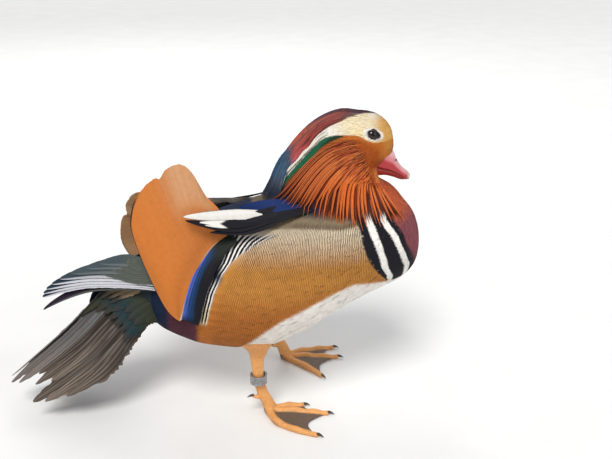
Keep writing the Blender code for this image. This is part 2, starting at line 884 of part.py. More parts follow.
def roof_point(share, at, side):
    """A place on the arched fan between the central and the outermost vane, and its outward normal."""
    centre = point_along(TAIL_CENTRE, at, side)
    edge = point_along(TAIL_EDGE, at, side)
    ahead = point_along(TAIL_CENTRE, min(at + 0.05, 1), side)
    run = ahead - point_along(TAIL_CENTRE, max(at - 0.05, 0), side)
    slope = (edge - centre).normalized()
    out = slope.cross(run).normalized() * side
    if out.z < 0:
        out = -out
    lean = (out + slope * (0.9 * share - 0.35)).normalized()
    return centre.lerp(edge, share) + out * (TAIL_ARCH * math.sin(math.pi * share)), lean


def tail_vane(number, side, draw):
    """One tail feather: the outer ones lie lower, steeper and under their neighbours."""
    steps = 5
    share = number / (TAIL_VANES - 1)
    length = 1 - 0.035 * draw.random()
    sink = TAIL_STEP * number - (1.2 if side == LEFT and number == 0 else 0.0)
    path = []
    hints = []
    for step in range(steps):
        place, out = roof_point(share, length * step / (steps - 1), side)
        path.append(place - out * sink)
        hints.append(out)
    widths = taper(TAIL_HALF_WIDTH, 0.62, 0.16, steps)
    return blade(path, hints, widths, [0.45, 0.45, 0.4, 0.35, 0.25], 0.05, "tail")


def covert_vane(number, side):
    steps = 4
    share = number / (COVERT_VANES - 1)
    path = []
    hints = []
    for step in range(steps):
        place, out = roof_point(share, (0.40 - 0.05 * number) * step / (steps - 1), side)
        path.append(place + out * (2.4 - 2.2 * share))
        hints.append(out)
    widths = taper(TAIL_HALF_WIDTH * 0.9, 0.5, 0.3, steps)
    return blade(path, hints, widths, [0.45, 0.45, 0.4, 0.3], 0.05, "tail")


def make_tail():
    draw = random.Random(7)
    rings = []
    steps = 7
    for step in range(steps):
        x, y, z, wide, tall = along(TAIL_CORE, step / (steps - 1))
        rings.append(ellipse(Vector((x, y, z)), Vector((0, 1, 0)), Vector((0, 0, 1)), wide, tall, 16))
    core = loft("tail", rings, "tail")
    vanes = []
    for side, _ in SIDES:
        for number in range(TAIL_VANES):
            vanes.append(tail_vane(number, side, draw))
        for number in range(COVERT_VANES):
            vanes.append(covert_vane(number, side))
    return union(core, vanes, CROSSING_SOLVER)


def scapular_forms():
    made = []
    for side, _ in SIDES:
        for rows, widest in SCAPULARS:
            steps = 5
            path = read_path(rows, side, steps)
            if side == LEFT:
                path = [point + LEFT_SCAPULAR_FALL * (i / (steps - 1)) for i, point in enumerate(path)]
            hints = [flat_out(side, 32 + 34 * step / (steps - 1)) for step in range(steps)]
            widths = taper(widest, 0.5, 0.18, steps)
            made.append(blade(path, hints, widths, [0.5, 0.5, 0.4, 0.35, 0.25], 0.1, "torso"))
    return made


def flank_edge_forms(tree):
    made = []
    for side, _ in SIDES:
        for number in range(FLANK_VANES):
            at = (number + 0.5) / FLANK_VANES
            tip = point_along(FLANK_EDGE, at)
            steps = 4
            path = []
            hints = []
            for step in range(steps):
                share = step / (steps - 1)
                reach = FLANK_VANE_LENGTH * (1 - share)
                x = tip.x + reach * 0.95
                z = tip.z + reach * (0.32 - 0.5 * at)
                place, out = side_hit(tree, x, z, side)
                lift = -1.6 + 2.9 * smooth_step(share * 1.5)
                path.append(place + out * lift)
                hints.append(out)
            widths = taper(6.2, 0.55, 0.35, steps)
            made.append(blade(path, hints, widths, [0.5, 0.5, 0.45, 0.35], 0.1, "torso"))
    return made


def surface_path(tree, places, lifts):
    """Moves points onto the skin and then off it by the given heights, with smoothed normals."""
    hits = [tree.find_nearest(place) for place in places]
    normals = []
    for i in range(len(hits)):
        near = hits[max(i - 1, 0) : i + 2]
        normals.append(sum((hit[1] for hit in near), Vector()).normalized())
    path = [hit[0] + normal * lift for hit, normal, lift in zip(hits, normals, lifts)]
    return path, normals


def side_curve(root, tip, share):
    """A hackle's line in the side view: it leaves backwards and then sweeps down."""
    length = math.hypot(tip[0] - root[0], tip[1] - root[1])
    back = min(max((root[0] - tip[0]) / 50, 0.0), 1.0)
    bend_x = root[0] + (tip[0] - root[0]) * 0.42 - 0.08 * length
    bend_z = root[1] + (tip[1] - root[1]) * 0.42 + 0.14 * length * back
    keep = 1 - share
    x = keep * keep * root[0] + 2 * keep * share * bend_x + share * share * tip[0]
    z = keep * keep * root[1] + 2 * keep * share * bend_z + share * share * tip[1]
    return x, z


def hackle(tree, side, at, first, last, rise):
    """One hackle at a share of the fan, from one share of its full line to another."""
    root = along(HACKLE_ROOTS, at)
    tip = along(HACKLE_TIPS, at)
    steps = 5
    places = []
    lifts = []
    for step in range(steps):
        share = step / (steps - 1)
        x, z = side_curve(root, tip, first + (last - first) * share)
        place, _ = side_hit(tree, x, z, side)
        places.append(place if place else Vector((x, side * 20, z)))
        lifts.append(-1.8 + (3.6 + rise) * smooth_step(share * 2.6) - 0.3 * share)
    path, hints = surface_path(tree, places, lifts)
    widths = taper(HACKLE_HALF_WIDTH, 0.75, 0.15, steps)
    widths[0] *= 0.4
    depths = [HACKLE_HALF_DEPTH] * (steps - 1) + [0.3]
    return lock(path, hints, widths, depths, "head")


def hackle_forms(tree):
    made = []
    draw = random.Random(3)
    for side, _ in SIDES:
        for number in range(HACKLE_COUNT):
            at = number / (HACKLE_COUNT - 1)
            made.append(hackle(tree, side, at, 0.0, 0.93 + 0.07 * draw.random(), 1.4 * (number % 2)))
        for number in range(SHORT_HACKLE_COUNT):
            at = (number + 0.5) / SHORT_HACKLE_COUNT
            made.append(hackle(tree, side, at, 0.08, 0.70 + 0.08 * draw.random(), 2.7))
    return made


def crest_lock(tree, across, first, last, rise):
    steps = 5
    places = []
    lifts = []
    for step in range(steps):
        share = step / (steps - 1)
        at = first + (last - first) * share
        x, z = along(CREST_LINE, at)
        spread = along([(value,) for value in CREST_SPREAD], at)[0]
        places.append(Vector((x + 3 * across * across, across * spread, z - 5 * across * across)))
        lifts.append(-1.6 + (3.3 + rise) * smooth_step(share * 2.2))
    path, hints = surface_path(tree, places, lifts)
    widths = taper(CREST_HALF_WIDTH, 0.5, 0.15, steps)
    depths = [CREST_HALF_DEPTH] * (steps - 1) + [0.3]
    return lock(path, hints, widths, depths, "head")


def crest_forms(tree):
    made = []
    draw = random.Random(5)
    for number in range(CREST_LOCKS):
        across = -1 + 2 * number / (CREST_LOCKS - 1)
        made.append(crest_lock(tree, across, 0.0, 0.94 + 0.06 * draw.random(), 1.2 * (number % 2)))
    for number in range(CREST_SHORT_LOCKS):
        across = -0.35 + 0.7 * number / (CREST_SHORT_LOCKS - 1)
        made.append(crest_lock(tree, across, 0.25, 0.74 + 0.1 * draw.random(), 2.4))
    return made


def leg_form(rows, side, name):
    rings = []
    for step in range(LEG_STATIONS):
        z, x, y, long, wide = along(rows, step / (LEG_STATIONS - 1))
        middle = Vector((x, side * y, z))
        rings.append(ellipse(middle, Vector((1, 0, 0)), Vector((0, 1, 0)), long, wide, LEG_SIDES))
    return loft(name, rings, "leg")


def toe_form(bends, lift):
    """A jointed toe whose pads are flat where they meet the floor."""
    rings = []
    stations = 2 * len(bends)
    size = HIND_TOE_SHARE if lift else 1.0
    for step in range(stations):
        share = step / (stations - 1)
        x, y = along(bends, share)
        x1, y1 = along(bends, min(share + 0.05, 1))
        x0, y0 = along(bends, max(share - 0.05, 0))
        run = Vector((x1 - x0, y1 - y0, 0)).normalized()
        across = Vector((-run.y, run.x, 0))
        pad = 1 + 0.10 * math.cos(2 * math.pi * share * (len(bends) - 1))
        radius = size * (TOE_RADIUS + (TOE_TIP_RADIUS - TOE_RADIUS) * share) * pad
        if step == stations - 1:
            radius *= 0.6
        middle = Vector((x, y, radius * 0.82 + lift * (1 + 0.25 * share)))
        ring = ellipse(middle, across, Vector((0, 0, 1)), radius, radius, 7)
        rings.append([Vector((p.x, p.y, max(p.z, 0.0))) for p in ring])
    return loft("toe", rings, "leg")


def web_form(first, second, name):
    """The membrane between two toes, with a hollowed leading edge."""
    rows, columns = 4, 4
    grid = []
    for r in range(rows):
        line = []
        for c in range(columns):
            part = c / (columns - 1)
            reach = (0.10 + 0.82 * r / (rows - 1)) * (1 - 0.22 * math.sin(math.pi * part))
            a = Vector((*along(first, reach), 0))
            b = Vector((*along(second, reach), 0))
            point = a.lerp(b, part)
            point.z = 2.4 - 1.0 * r / (rows - 1)
            line.append(point)
        grid.append(line)
    return sheet_solid(name, grid, grid_normals(grid), WEB_THICKNESS, "leg")


def claw_form(bends, name, lift):
    x, y = bends[-1]
    x0, y0 = bends[-2]
    run = Vector((x - x0, y - y0, 0)).normalized()
    across = Vector((-run.y, run.x, 0))
    rings = []
    for step in range(4):
        share = step / 3
        middle = Vector((x, y, 2.0 + 1.2 * lift)) + run * (CLAW_LENGTH * share - 0.8)
        middle.z += 0.9 * math.sin(math.pi * share) - 1.0 * share
        radius = 1.35 * (1 - share) ** 0.8 + 0.22
        rings.append(ellipse(middle, across, Vector((0, 0, 1)), radius * 0.8, radius, 5))
    return loft(name, rings, "claw")


def make_legs(torso):
    made = []
    for side, word in SIDES:
        rows = RIGHT_LEG if side == RIGHT else LEFT_LEG
        leg = leg_form(rows, side, "leg_" + word)
        foot = copy_of(leg, "foot_" + word)
        ankle = ((-100.0, ANKLE), (100.0, ANKLE))
        keep_side(leg, ankle, above=True)
        keep_side(foot, ankle, above=False)
        cut_clear(leg, torso, CROSSING_SOLVER)
        made += [leg, foot] + finish_foot(foot, side, word)
    return made


def finish_foot(foot, side, word):
    """Adds toes and webs to the foot, and returns its claws."""
    toes = RIGHT_TOES if side == RIGHT else LEFT_TOES
    lifts = {toe: HIND_TOE_HEIGHT if toe == "hind" else 0.0 for toe in toes}
    pieces = [toe_form(bends, lifts[toe]) for toe, bends in toes.items()]
    pieces.append(web_form(toes["inner"], toes["middle"], "web"))
    pieces.append(web_form(toes["middle"], toes["outer"], "web"))
    union(foot, pieces)
    claws = []
    for toe, bends in toes.items():
        claw = claw_form(bends, "claw_" + word + "_" + toe, lifts[toe])
        cut_clear(claw, foot)
        claws.append(claw)
    return claws


def make_band():
    z, x, y, _, _ = along(RIGHT_LEG, BAND_PLACE)
    turns = 24
    points = []
    for radius, lift in ((BAND_OUTER, 1), (BAND_OUTER, -1), (BAND_INNER, -1), (BAND_INNER, 1)):
        for i in range(turns):
            angle = 2 * math.pi * i / turns
            spoke = Vector((math.cos(angle), math.sin(angle), 0)) * radius
            points.append(Vector((x, -y, z)) + spoke + Vector((0, 0, lift * BAND_LENGTH / 2)))
    faces = []
    for level in range(4):
        for i in range(turns):
            j = (i + 1) % turns
            a = level * turns + i
            b = level * turns + j
            c = ((level + 1) % 4) * turns + j
            d = ((level + 1) % 4) * turns + i
            faces.append((a, b, c, d))
    return mesh_object("leg_band", points, faces, "band")


def settle(items):
    """Moves all pieces so that the origin is the middle of the footprint box, on the floor."""
    corners = [vert.co for item in items for vert in item.data.vertices]
    low = [min(corner[axis] for corner in corners) for axis in range(3)]
    high = [max(corner[axis] for corner in corners) for axis in range(3)]
    shift = Vector(((low[0] + high[0]) / 2, (low[1] + high[1]) / 2, low[2]))
    for item in items:
        for vert in item.data.vertices:
            vert.co -= shift


def main():
    clear_scene()
    torso, neck, head, skin = make_body()
    eyes = make_eyes(head)
    locks = hackle_forms(skin) + crest_forms(skin)
    head_tools = clear_tools([head] + locks)
    union(head, locks, CROSSING_SOLVER)
    bill = make_bill(head_tools)
    cut_with(neck, head_tools, CROSSING_SOLVER)
    remove_all(head_tools)
    coat = scapular_forms() + flank_edge_forms(skin)
    torso_tools = clear_tools([torso] + coat)
    union(torso, coat, CROSSING_SOLVER)
    sails = make_sails()
    wings = []
    for sail, pieces in zip(sails, wing_pieces()):
        wing_tools = clear_tools(pieces)
        wing = union(pieces[0], pieces[1:], CROSSING_SOLVER)
        cut_with(wing, torso_tools, CROSSING_SOLVER)
        cut_with(sail, torso_tools + wing_tools, CROSSING_SOLVER)
        remove_all(wing_tools)
        wings.append(wing)
    tail = make_tail()
    cut_with(tail, torso_tools, CROSSING_SOLVER)
    remove_all(torso_tools)
    legs = make_legs(torso)
    band = make_band()
    for item in [neck, head] + eyes + bill:
        bend_mesh(item)
    items = [torso, neck, head] + eyes + bill + wings + sails + [tail] + legs + [band]
    settle(items)
    for item in items:
        item.data.shade_smooth()
        item.data.set_sharp_from_angle(angle=math.radians(40))


main()
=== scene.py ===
"""The looks of a standing mandarin drake, life size, with one sail raised.

Sizes are in millimetres in the bird's design frame: +X ahead, +Y to its left, floor at 0.
The bird is laid out with a straight neck, and then the head is turned and rolled by pose().
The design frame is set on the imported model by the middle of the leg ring.
"""

import math
from itertools import product

import bpy
import numpy as np
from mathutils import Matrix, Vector
from mathutils.bvhtree import BVHTree


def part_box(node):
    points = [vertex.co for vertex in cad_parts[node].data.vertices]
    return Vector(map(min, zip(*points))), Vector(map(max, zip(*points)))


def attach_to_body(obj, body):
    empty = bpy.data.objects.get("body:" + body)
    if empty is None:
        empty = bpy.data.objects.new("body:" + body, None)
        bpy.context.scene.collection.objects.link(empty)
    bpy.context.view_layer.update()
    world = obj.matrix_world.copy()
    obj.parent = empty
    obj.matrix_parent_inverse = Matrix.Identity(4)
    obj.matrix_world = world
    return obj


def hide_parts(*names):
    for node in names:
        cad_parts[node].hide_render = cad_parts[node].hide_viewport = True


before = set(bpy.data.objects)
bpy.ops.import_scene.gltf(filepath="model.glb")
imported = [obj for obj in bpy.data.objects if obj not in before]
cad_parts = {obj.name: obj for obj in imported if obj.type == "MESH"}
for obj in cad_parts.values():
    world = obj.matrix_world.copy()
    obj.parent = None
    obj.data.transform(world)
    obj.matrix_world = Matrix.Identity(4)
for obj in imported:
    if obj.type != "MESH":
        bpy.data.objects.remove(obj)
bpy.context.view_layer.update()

MM = 0.001
RIGHT = -1
LEFT = 1
SIDES = ((RIGHT, "right"), (LEFT, "left"))
AHEAD, ACROSS, UP = np.eye(3)

# The ring's middle in the design frame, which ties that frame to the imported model.
RING_PLACE = np.array([-35.0, -36.0, 29.0])
RING_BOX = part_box("leg_band")
SHIFT = (np.array(RING_BOX[0]) + np.array(RING_BOX[1])) / 2 / MM - RING_PLACE

# Camera, lights and floor: places and targets in the design frame, and the floor's half length.
CAMERA_PLACE = np.array([-80.29, -604.86, 350.94])
CAMERA_TARGET = np.array([4.72, 0.0, 128.62])
CAMERA_LENS = 52.38
CAMERA_SENSOR = 36.0
LIGHT_TARGET = np.array([0.0, 0.0, 110.0])
FLOOR_HALF = 9000.0

# How the head is turned and rolled about a pivot low in the neck.
HEAD_PIVOT = np.array([20.0, 0.0, 155.0])
HEAD_YAW = math.radians(-10)
HEAD_ROLL = math.radians(-12)
BEND_START = 157.0
BEND_LENGTH = 33.0

# Trunk: x, half width, half height and height of the middle, from breast to rump.
TORSO_ROWS = (
    (88.5, 5, 6, 119), (84, 20, 21, 119.5), (76, 31, 30.5, 121), (66.5, 40, 38, 124),
    (47, 50, 46, 125), (24, 58, 52, 120.5), (-5, 62, 54, 106), (-34, 62, 55, 97.5),
    (-68, 52, 48.5, 94), (-84, 41, 41, 90.5), (-103, 26, 27, 86), (-112, 13, 15, 85),
)
# Neck: height, x of the middle, half length and half width.
NECK_ROWS = (
    (138, 21, 42, 39), (148, 20, 42, 35.5), (156, 17, 41.5, 31), (166, 19.5, 39, 26.5),
    (176, 21, 35.5, 23), (186, 23, 30, 20.5), (194, 25, 23, 17),
)
# Head: x, half width, then the heights of top, widest level and underside.
HEAD_ROWS = (
    (67, 3.5, 196, 191.5, 187), (65.5, 7, 203, 192, 183), (62.5, 10, 208, 192.5, 179),
    (57, 14, 213, 193, 174), (49, 17.5, 215.8, 193, 168), (40, 19.5, 216.4, 192, 165),
    (27, 19.5, 215.0, 190, 163), (12.7, 17.5, 208.2, 187, 163), (5, 16, 201.8, 184, 163),
    (-6, 12.5, 188.2, 178, 162), (-12.8, 9, 179.5, 173, 161), (-18, 5, 169, 165, 159),
)
TORSO_DEPTH = 1.6
NECK_DEPTH = 1.2
HEAD_DEPTH = 0.9
SKIN_VOXEL = 1.5

# Feather roots: how far aside a line that looks for the skin starts, the skin's area for each place
# that is tried, the side of the cells in which kept places are looked up, and how many make a piece.
BESIDE = 150
AREA_OF_A_TRY = 0.55
GRID_CELL = 2.0
FEATHERS_A_PIECE = 6500

# Small feathers: from which height they are the head's, their lengths as shares of the spacing, and
# the bare place round the gape in the side view.
HEAD_FROM = 168
SMALL_LENGTHS = (2.6, 3.4)
GAPE = (62, 178)
GAPE_ROOM = 8

# Bill: culmen, cutting edge and keel in the side view, with half widths.
CULMEN = ((60, 191), (67, 186.7), (69.4, 181.6), (73.2, 175.6), (77.5, 171.9), (80.3, 168.8))
TOMIUM = ((50, 177.5), (58, 174.6), (64, 173.0), (70, 170.3), (75.5, 166.9), (79.6, 165.4))
KEEL = ((50, 169.5), (56, 168.2), (62, 168.2), (68, 166.6), (73, 164.6), (76.6, 164.2))
BILL_WIDTHS = (7.4, 7.0, 6.0, 5.2, 4.8, 2.6)
LOWER_BILL_WIDTHS = (6.0, 5.6, 4.9, 4.3, 3.8, 2.0)
NOSTRIL = (69.6, 180.0)

EYE = (52.2, 198.6)
EYE_RADIUS = 5.2
EYE_PROUD = 0.8
EYE_TILT = math.radians(14)
LID_HALF_LENGTH = 4.7
LID_HALF_HEIGHT = 2.4
LID_THICKNESS = 0.5
EYE_ROOM = (4.85, 2.75)

# Sail: the shaft from root to tip, and the outer rim of its broad web, on the right wing.
SAIL_SHAFT = ((-51, 34, 141), (-65, 40, 133), (-74.5, 45, 120), (-83, 46, 101), (-88.5, 42, 82))
SAIL_RIM = (
    (-56, 36, 148), (-60, 34, 159.5), (-67.5, 30, 167), (-72.4, 27, 175.5), (-75.5, 25, 181),
    (-79.5, 23, 185.5), (-84, 22, 187.5), (-89.5, 22, 186.5), (-94, 23, 184), (-97.8, 24, 178.5),
    (-100.5, 24, 179), (-105.6, 24, 176), (-111.2, 25, 170.3), (-115.6, 26, 163.7), (-118.1, 27, 155),
    (-118.6, 29, 146.4), (-114.7, 33, 131.8), (-107.8, 37, 112.5), (-98.8, 40, 90.9), (-90.4, 42, 80.6),
)
SAIL_OUTER_WEB = 10.0
LEFT_SAIL_TURN = math.radians(37.5)
LEFT_SAIL_SHIFT = np.array([-13.4, 0.0, -3.7])

# Legs: height, x, sideways place, half length and half width of each level, to the sole.
RIGHT_LEG = (
    (70, -38, 32, 17, 13), (58, -36, 34, 12.5, 10), (51, -35, 35, 7.5, 6.2),
    (45, -35.5, 35.3, 5.4, 4.2), (38, -35.5, 35.6, 4.5, 3.2), (29, -35, 36, 4.2, 3.0),
    (18, -32.5, 36, 4.3, 3.1), (10, -29, 36, 4.9, 3.9), (4, -27, 36, 5.0, 4.3), (0, -27, 36, 4.2, 3.6),
)
LEFT_LEG = (
    (70, -22, 33, 17, 13), (58, -19, 35, 12.5, 10), (51, -17.5, 37, 7.5, 6.2),
    (45, -17, 38.5, 5.4, 4.2), (38, -16, 40, 4.5, 3.2), (29, -14, 42, 4.2, 3.0),
    (18, -11, 44, 4.3, 3.1), (10, -8, 45, 4.9, 3.9), (4, -6, 45, 5.0, 4.3), (0, -6, 45, 4.2, 3.6),
)
RIGHT_TOES = {
    "inner": ((-27, -34), (-12, -32), (-1, -32)),
    "middle": ((-26, -37), (-9, -40), (5, -43.5), (15, -46)),
    "outer": ((-28, -39), (-23, -54), (-11, -65), (3, -73.5)),
    "hind": ((-31, -36), (-35.5, -36.2), (-39.5, -36.5)),
}
LEFT_TOES = {
    "inner": ((-6, 43), (8, 26), (19, 9)),
    "middle": ((-5, 45), (11, 43), (25, 40.5), (37, 38.5)),
    "outer": ((-6, 47), (9, 52), (23, 54.5), (36, 55.5)),
    "hind": ((-10, 44), (-14, 42.5), (-17.5, 41)),
}
HIND_TOE_HEIGHT = 11.0
TOE_RADIUS = 3.1
TOE_TIP_RADIUS = 1.9
HIND_TOE_SHARE = 0.72
LEG_VOXEL = 0.55
WEB_OF_FOOT = 0.95

# Folded wing, tail and scapulars, as lines on the right side.
FLANK_EDGE = (
    (-46, 37, 139), (-56, 41, 131.5), (-63, 45, 124), (-69, 49, 113), (-74, 50.5, 96), (-76, 48, 80),
)
WING_LINE = ((-50, 32, 137), (-64, 38, 127), (-80, 39, 112), (-98, 29, 106), (-114, 18, 107))
WING_HALF_HEIGHTS = (5, 12, 17, 15, 10)
WING_INSET = 0.76
PRIMARY_ROOTS = ((-104, 25, 99), (-104.5, 22, 105), (-106, 17, 112))
PRIMARY_BENDS = ((-150, 8, 98), (-145, 8, 105), (-124, 11, 115))
PRIMARY_TIPS = ((-187, -3, 86), (-184, -2, 92), (-175, 0, 99), (-161, 3, 106), (-143, 6, 112))
LEFT_PRIMARY_SHIFT = np.array([32.0, 14.0, -12.0])
PRIMARY_LEAN = 50.0
PRIMARY_STACKING = 0.47
PRIMARIES = 9
TAIL_CORE = ((-96, 0, 86, 23, 23), (-112, 0, 87, 17, 19), (-126, 0, 80, 12, 12), (-140, 0, 71, 5, 5))
TAIL_CENTRE = ((-106, 3, 100), (-138, 3, 89), (-170, 3, 60), (-214, 4, 22))
TAIL_EDGE = ((-104, 15, 78), (-126, 25, 60), (-150, 34, 38), (-191, 34, 13))
TAIL_ARCH = 3.5
TAIL_SHADES = (1.0, 1.25, 0.55, 0.8, 1.1, 0.7, 1.2, 0.9)
TAIL_REACHES = (1.0, 0.96, 0.86, 0.90, 0.84, 0.985, 0.93, 0.84)
COVERTS_A_TIER = 7
LEFT_SCAPULAR_FALL = np.array([0.0, 3.0, -17.0])
LEFT_SCAPULAR_DROP = np.array([0.0, 1.0, -3.5])

# Every feather: the fold from which an edge is sharp. Vanes: camber, and sizes of shaft and web.
FOLD_ANGLE = math.radians(50)
VANE_CAMBER = 0.12
SHAFT_WIDTH = 0.45
SHAFT_THICKNESS = 0.5
WEB_THICKNESS = 0.34

# Hackles: guide lines in the side view, at shares from the hindmost to the foremost.
HACKLE_SHARES = (0, 0.25, 0.5, 0.75, 0.9, 1)
HACKLE_GUIDES = (
    ((46.9, 192.1), (26.1, 192.3), (3.7, 177.2), (-19.1, 156.7)),
    ((49.1, 186.6), (30.6, 181.8), (10.9, 169.0), (-2.9, 151.9)),
    ((51.2, 181.2), (37.0, 174.7), (25.1, 163.3), (18.7, 149.2)),
    ((52.7, 173.7), (42.8, 167.5), (36.2, 159.2), (36.3, 144.8)),
    ((53.5, 168.5), (50.6, 164.2), (51.9, 156.9), (56.2, 145.8)),
    ((53.7, 165.1), (56.1, 161.3), (62.1, 153.8), (70.9, 143.0)),
)
CREST_LINE = ((47, 216.5), (30, 217), (14, 211), (0, 199.5), (-12, 184), (-21, 168), (-27.5, 157))
CREST_SPREAD = (10, 13, 15, 16.5, 17.5, 18, 15)

# The place low in the head about which its markings are laid out, in the side view.
MARK_CENTRE = (40, 170)

# Size of one feather's patch on the bake map, and the way the feathers of neck and breast lie.
PATCH = 0.003
FLOW_DOWN = (-0.45, 0, -1.0)

# Colours, linear.
GOLD = (0.50, 0.215, 0.042)
GOLD_PALE = (0.70, 0.60, 0.44)
RUST = (0.43, 0.14, 0.025)
OLIVE = (0.23, 0.175, 0.11)
MANTLE = (0.080, 0.060, 0.048)
MANTLE_OLIVE = (0.13, 0.105, 0.070)
WHITE = (0.84, 0.81, 0.76)
BELLY = (0.80, 0.76, 0.70)
BLACK = (0.010, 0.010, 0.014)
MAROON = (0.21, 0.060, 0.070)
MAROON_DARK = (0.060, 0.015, 0.022)
BLUE_BLACK = (0.010, 0.018, 0.045)
ROYAL_BLUE = (0.010, 0.030, 0.13)
VIOLET_BLUE = (0.11, 0.18, 0.60)
TEAL = (0.014, 0.095, 0.17)
GREEN = (0.012, 0.110, 0.050)
GREEN_DARK = (0.012, 0.035, 0.020)
CREAM = (0.80, 0.68, 0.46)
BUFF = (0.80, 0.62, 0.30)
OCHRE = (0.66, 0.36, 0.095)
OCHRE_DEEP = (0.54, 0.21, 0.035)
CHEEK = (0.38, 0.078, 0.010)
CHEEK_BRIGHT = (0.55, 0.16, 0.022)
COPPER = (0.30, 0.042, 0.028)
COPPER_DEEP = (0.16, 0.032, 0.030)
COPPER_BRIGHT = (0.50, 0.095, 0.040)
PINK_RED = (0.52, 0.080, 0.085)
CROWN_DARK = (0.055, 0.022, 0.040)
CREST_BLUE = (0.012, 0.080, 0.18)
HACKLE_BRIGHT = (0.84, 0.145, 0.018)
HACKLE_RED = (0.46, 0.065, 0.018)
HACKLE_PALE = (0.95, 0.38, 0.10)
HACKLE_DARK = (0.085, 0.016, 0.008)
NECK_RUST = (0.24, 0.052, 0.018)
BREAST_RUST = (0.42, 0.090, 0.034)
PURPLE_TUFT = (0.080, 0.024, 0.038)
SAIL_ORANGE = (0.56, 0.185, 0.042)
SAIL_DEEP = (0.62, 0.190, 0.036)
SAIL_PALE = (0.58, 0.37, 0.21)
# Painted light: the paler colour of the far sail where light comes through it.
FAR_SAIL_LIT_THROUGH = (0.60, 0.42, 0.25)
GREY_GREEN = (0.085, 0.100, 0.085)
GREY_EDGE = (0.60, 0.60, 0.65)
TAIL_BROWN = (0.050, 0.038, 0.030)
TAIL_GREY = (0.125, 0.108, 0.095)
TAIL_TIP = (0.26, 0.205, 0.165)
LID_DARK = (0.018, 0.012, 0.010)
LEG_ORANGE = (0.80, 0.37, 0.115)
WEB_DARK = (0.11, 0.080, 0.060)
SAIL_RUST = (0.38, 0.11, 0.025)
GREEN_BLACK = (0.025, 0.032, 0.022)
SLATE = (0.050, 0.078, 0.092)
SLATE_BLACK = (0.022, 0.030, 0.020)
VIOLET_BLACK = (0.022, 0.012, 0.028)
TAIL_SLATE = (0.11, 0.12, 0.135)
TAIL_BUFF = (0.34, 0.25, 0.15)
COVERT_GREEN = (0.036, 0.044, 0.026)
COVERT_TEAL = (0.012, 0.036, 0.046)
COVERT_EDGE = (0.14, 0.155, 0.13)
DARK_EDGE = (0.09, 0.10, 0.09)
CORE_DARK = (0.02, 0.03, 0.035)
WING_DARK = (0.012, 0.016, 0.020)
BILL_PINK = (0.55, 0.19, 0.20)
BILL_RIDGE_HIGHLIGHT = (0.66, 0.42, 0.43)
BILL_RED = (0.40, 0.022, 0.026)
BILL_NAIL = (0.62, 0.42, 0.34)
BILL_UNDER = (0.36, 0.034, 0.030)
NOSTRIL_DARK = (0.03, 0.01, 0.01)
EYE_BROWN = (0.016, 0.008, 0.005)
PUPIL = (0.002, 0.002, 0.002)
LEG_PALE = (0.62, 0.27, 0.08)
SCALE_EDGE = (0.30, 0.13, 0.04)
LINE_DARK = (0.050, 0.028, 0.018)

# How far the far sail fades to the light that comes through it, on its two faces.
FAR_SAIL_FADING = (0.15, 0.65)

# Colours of the vanes between the sail and the flank, from above; the black ones by the flank partly stand
# for the shadow there, as painted shade.
SECONDARY_TONES = (
    VIOLET_BLUE,
    (0.07, 0.12, 0.48),
    (0.018, 0.070, 0.27),
    (0.012, 0.060, 0.19),
    (0.012, 0.045, 0.11),
    BLUE_BLACK,
    BLACK,
)


def smooth(value):
    value = np.clip(value, 0.0, 1.0)
    return value * value * (3 - 2 * value)


def rise(value, start, length):
    """0 up to a start, and 1 from a given length after it."""
    return smooth((value - start) / length)


def fall(value, end, length):
    """1 until a given length before an end, and 0 from the end on."""
    return smooth((end - value) / length)


def edge(value, width=1.0):
    """0 below zero and 1 above it, with a soft step of the given width."""
    return smooth(value / width + 0.5)


def bell(value, middle, width):
    return np.exp(-(((value - middle) / width) ** 2))


def unit(vectors):
    length = np.linalg.norm(vectors, axis=-1, keepdims=True)
    return vectors / np.maximum(length, 1e-9)


def curve(rows, at):
    """A smooth curve through rows of numbers, read at 0 for the first and 1 for the last."""
    rows = np.asarray(rows, float)
    at = np.asarray(at, float)
    place = np.clip(at, 0, 1) * (len(rows) - 1)
    index = np.minimum(place.astype(int), len(rows) - 2)
    part = (place - index)[..., None]
    a = rows[np.maximum(index - 1, 0)]
    b = rows[index]
    c = rows[index + 1]
    d = rows[np.minimum(index + 2, len(rows) - 1)]
    bend = 2 * b + (c - a) * part + (2 * a - 5 * b + 4 * c - d) * part**2
    return (bend + (3 * b - a - 3 * c + d) * part**3) / 2


def sided(rows, at, side):
    return curve(rows, at) * np.array([1.0, side, 1.0])


def turned(points, yaw, roll):
    """Points turned by a roll about X and then a yaw about Z, with one angle each."""
    x, y, z = points[..., 0], points[..., 1], points[..., 2]
    y, z = y * np.cos(roll) - z * np.sin(roll), y * np.sin(roll) + z * np.cos(roll)
    x, y = x * np.cos(yaw) - y * np.sin(yaw), x * np.sin(yaw) + y * np.cos(yaw)
    return np.stack([x, y, z], -1)


def pose(points):
    share = smooth((points[..., 2] - BEND_START) / BEND_LENGTH)
    return HEAD_PIVOT + turned(points - HEAD_PIVOT, HEAD_YAW * share, HEAD_ROLL * share)


def mix(base, colour, mask):
    mask = np.clip(mask, 0, 1)[..., None]
    return np.asarray(base) * (1 - mask) + np.asarray(colour) * mask


def layered(base, *layers):
    """A base colour with more colours laid over it in turn, each by its own mask."""
    for colour, mask in layers:
        base = mix(base, colour, mask)
    return base


def add_object(name, data):
    item = bpy.data.objects.new(name, data)
    bpy.context.scene.collection.objects.link(item)
    return item


def add_mesh(name, points, triangles):
    """A mesh object from points in millimetres in the design frame, already posed."""
    mesh = bpy.data.meshes.new(name)
    mesh.vertices.add(len(points))
    mesh.vertices.foreach_set("co", ((points + SHIFT) * MM).astype(np.float32).ravel())
    mesh.loops.add(triangles.size)
    mesh.loops.foreach_set("vertex_index", triangles.astype(np.int32).ravel())
    mesh.polygons.add(len(triangles))
    mesh.polygons.foreach_set("loop_start", np.arange(0, triangles.size, 3, dtype=np.int32))
    mesh.update(calc_edges=True)
    mesh.shade_smooth()
    return add_object(name, mesh)


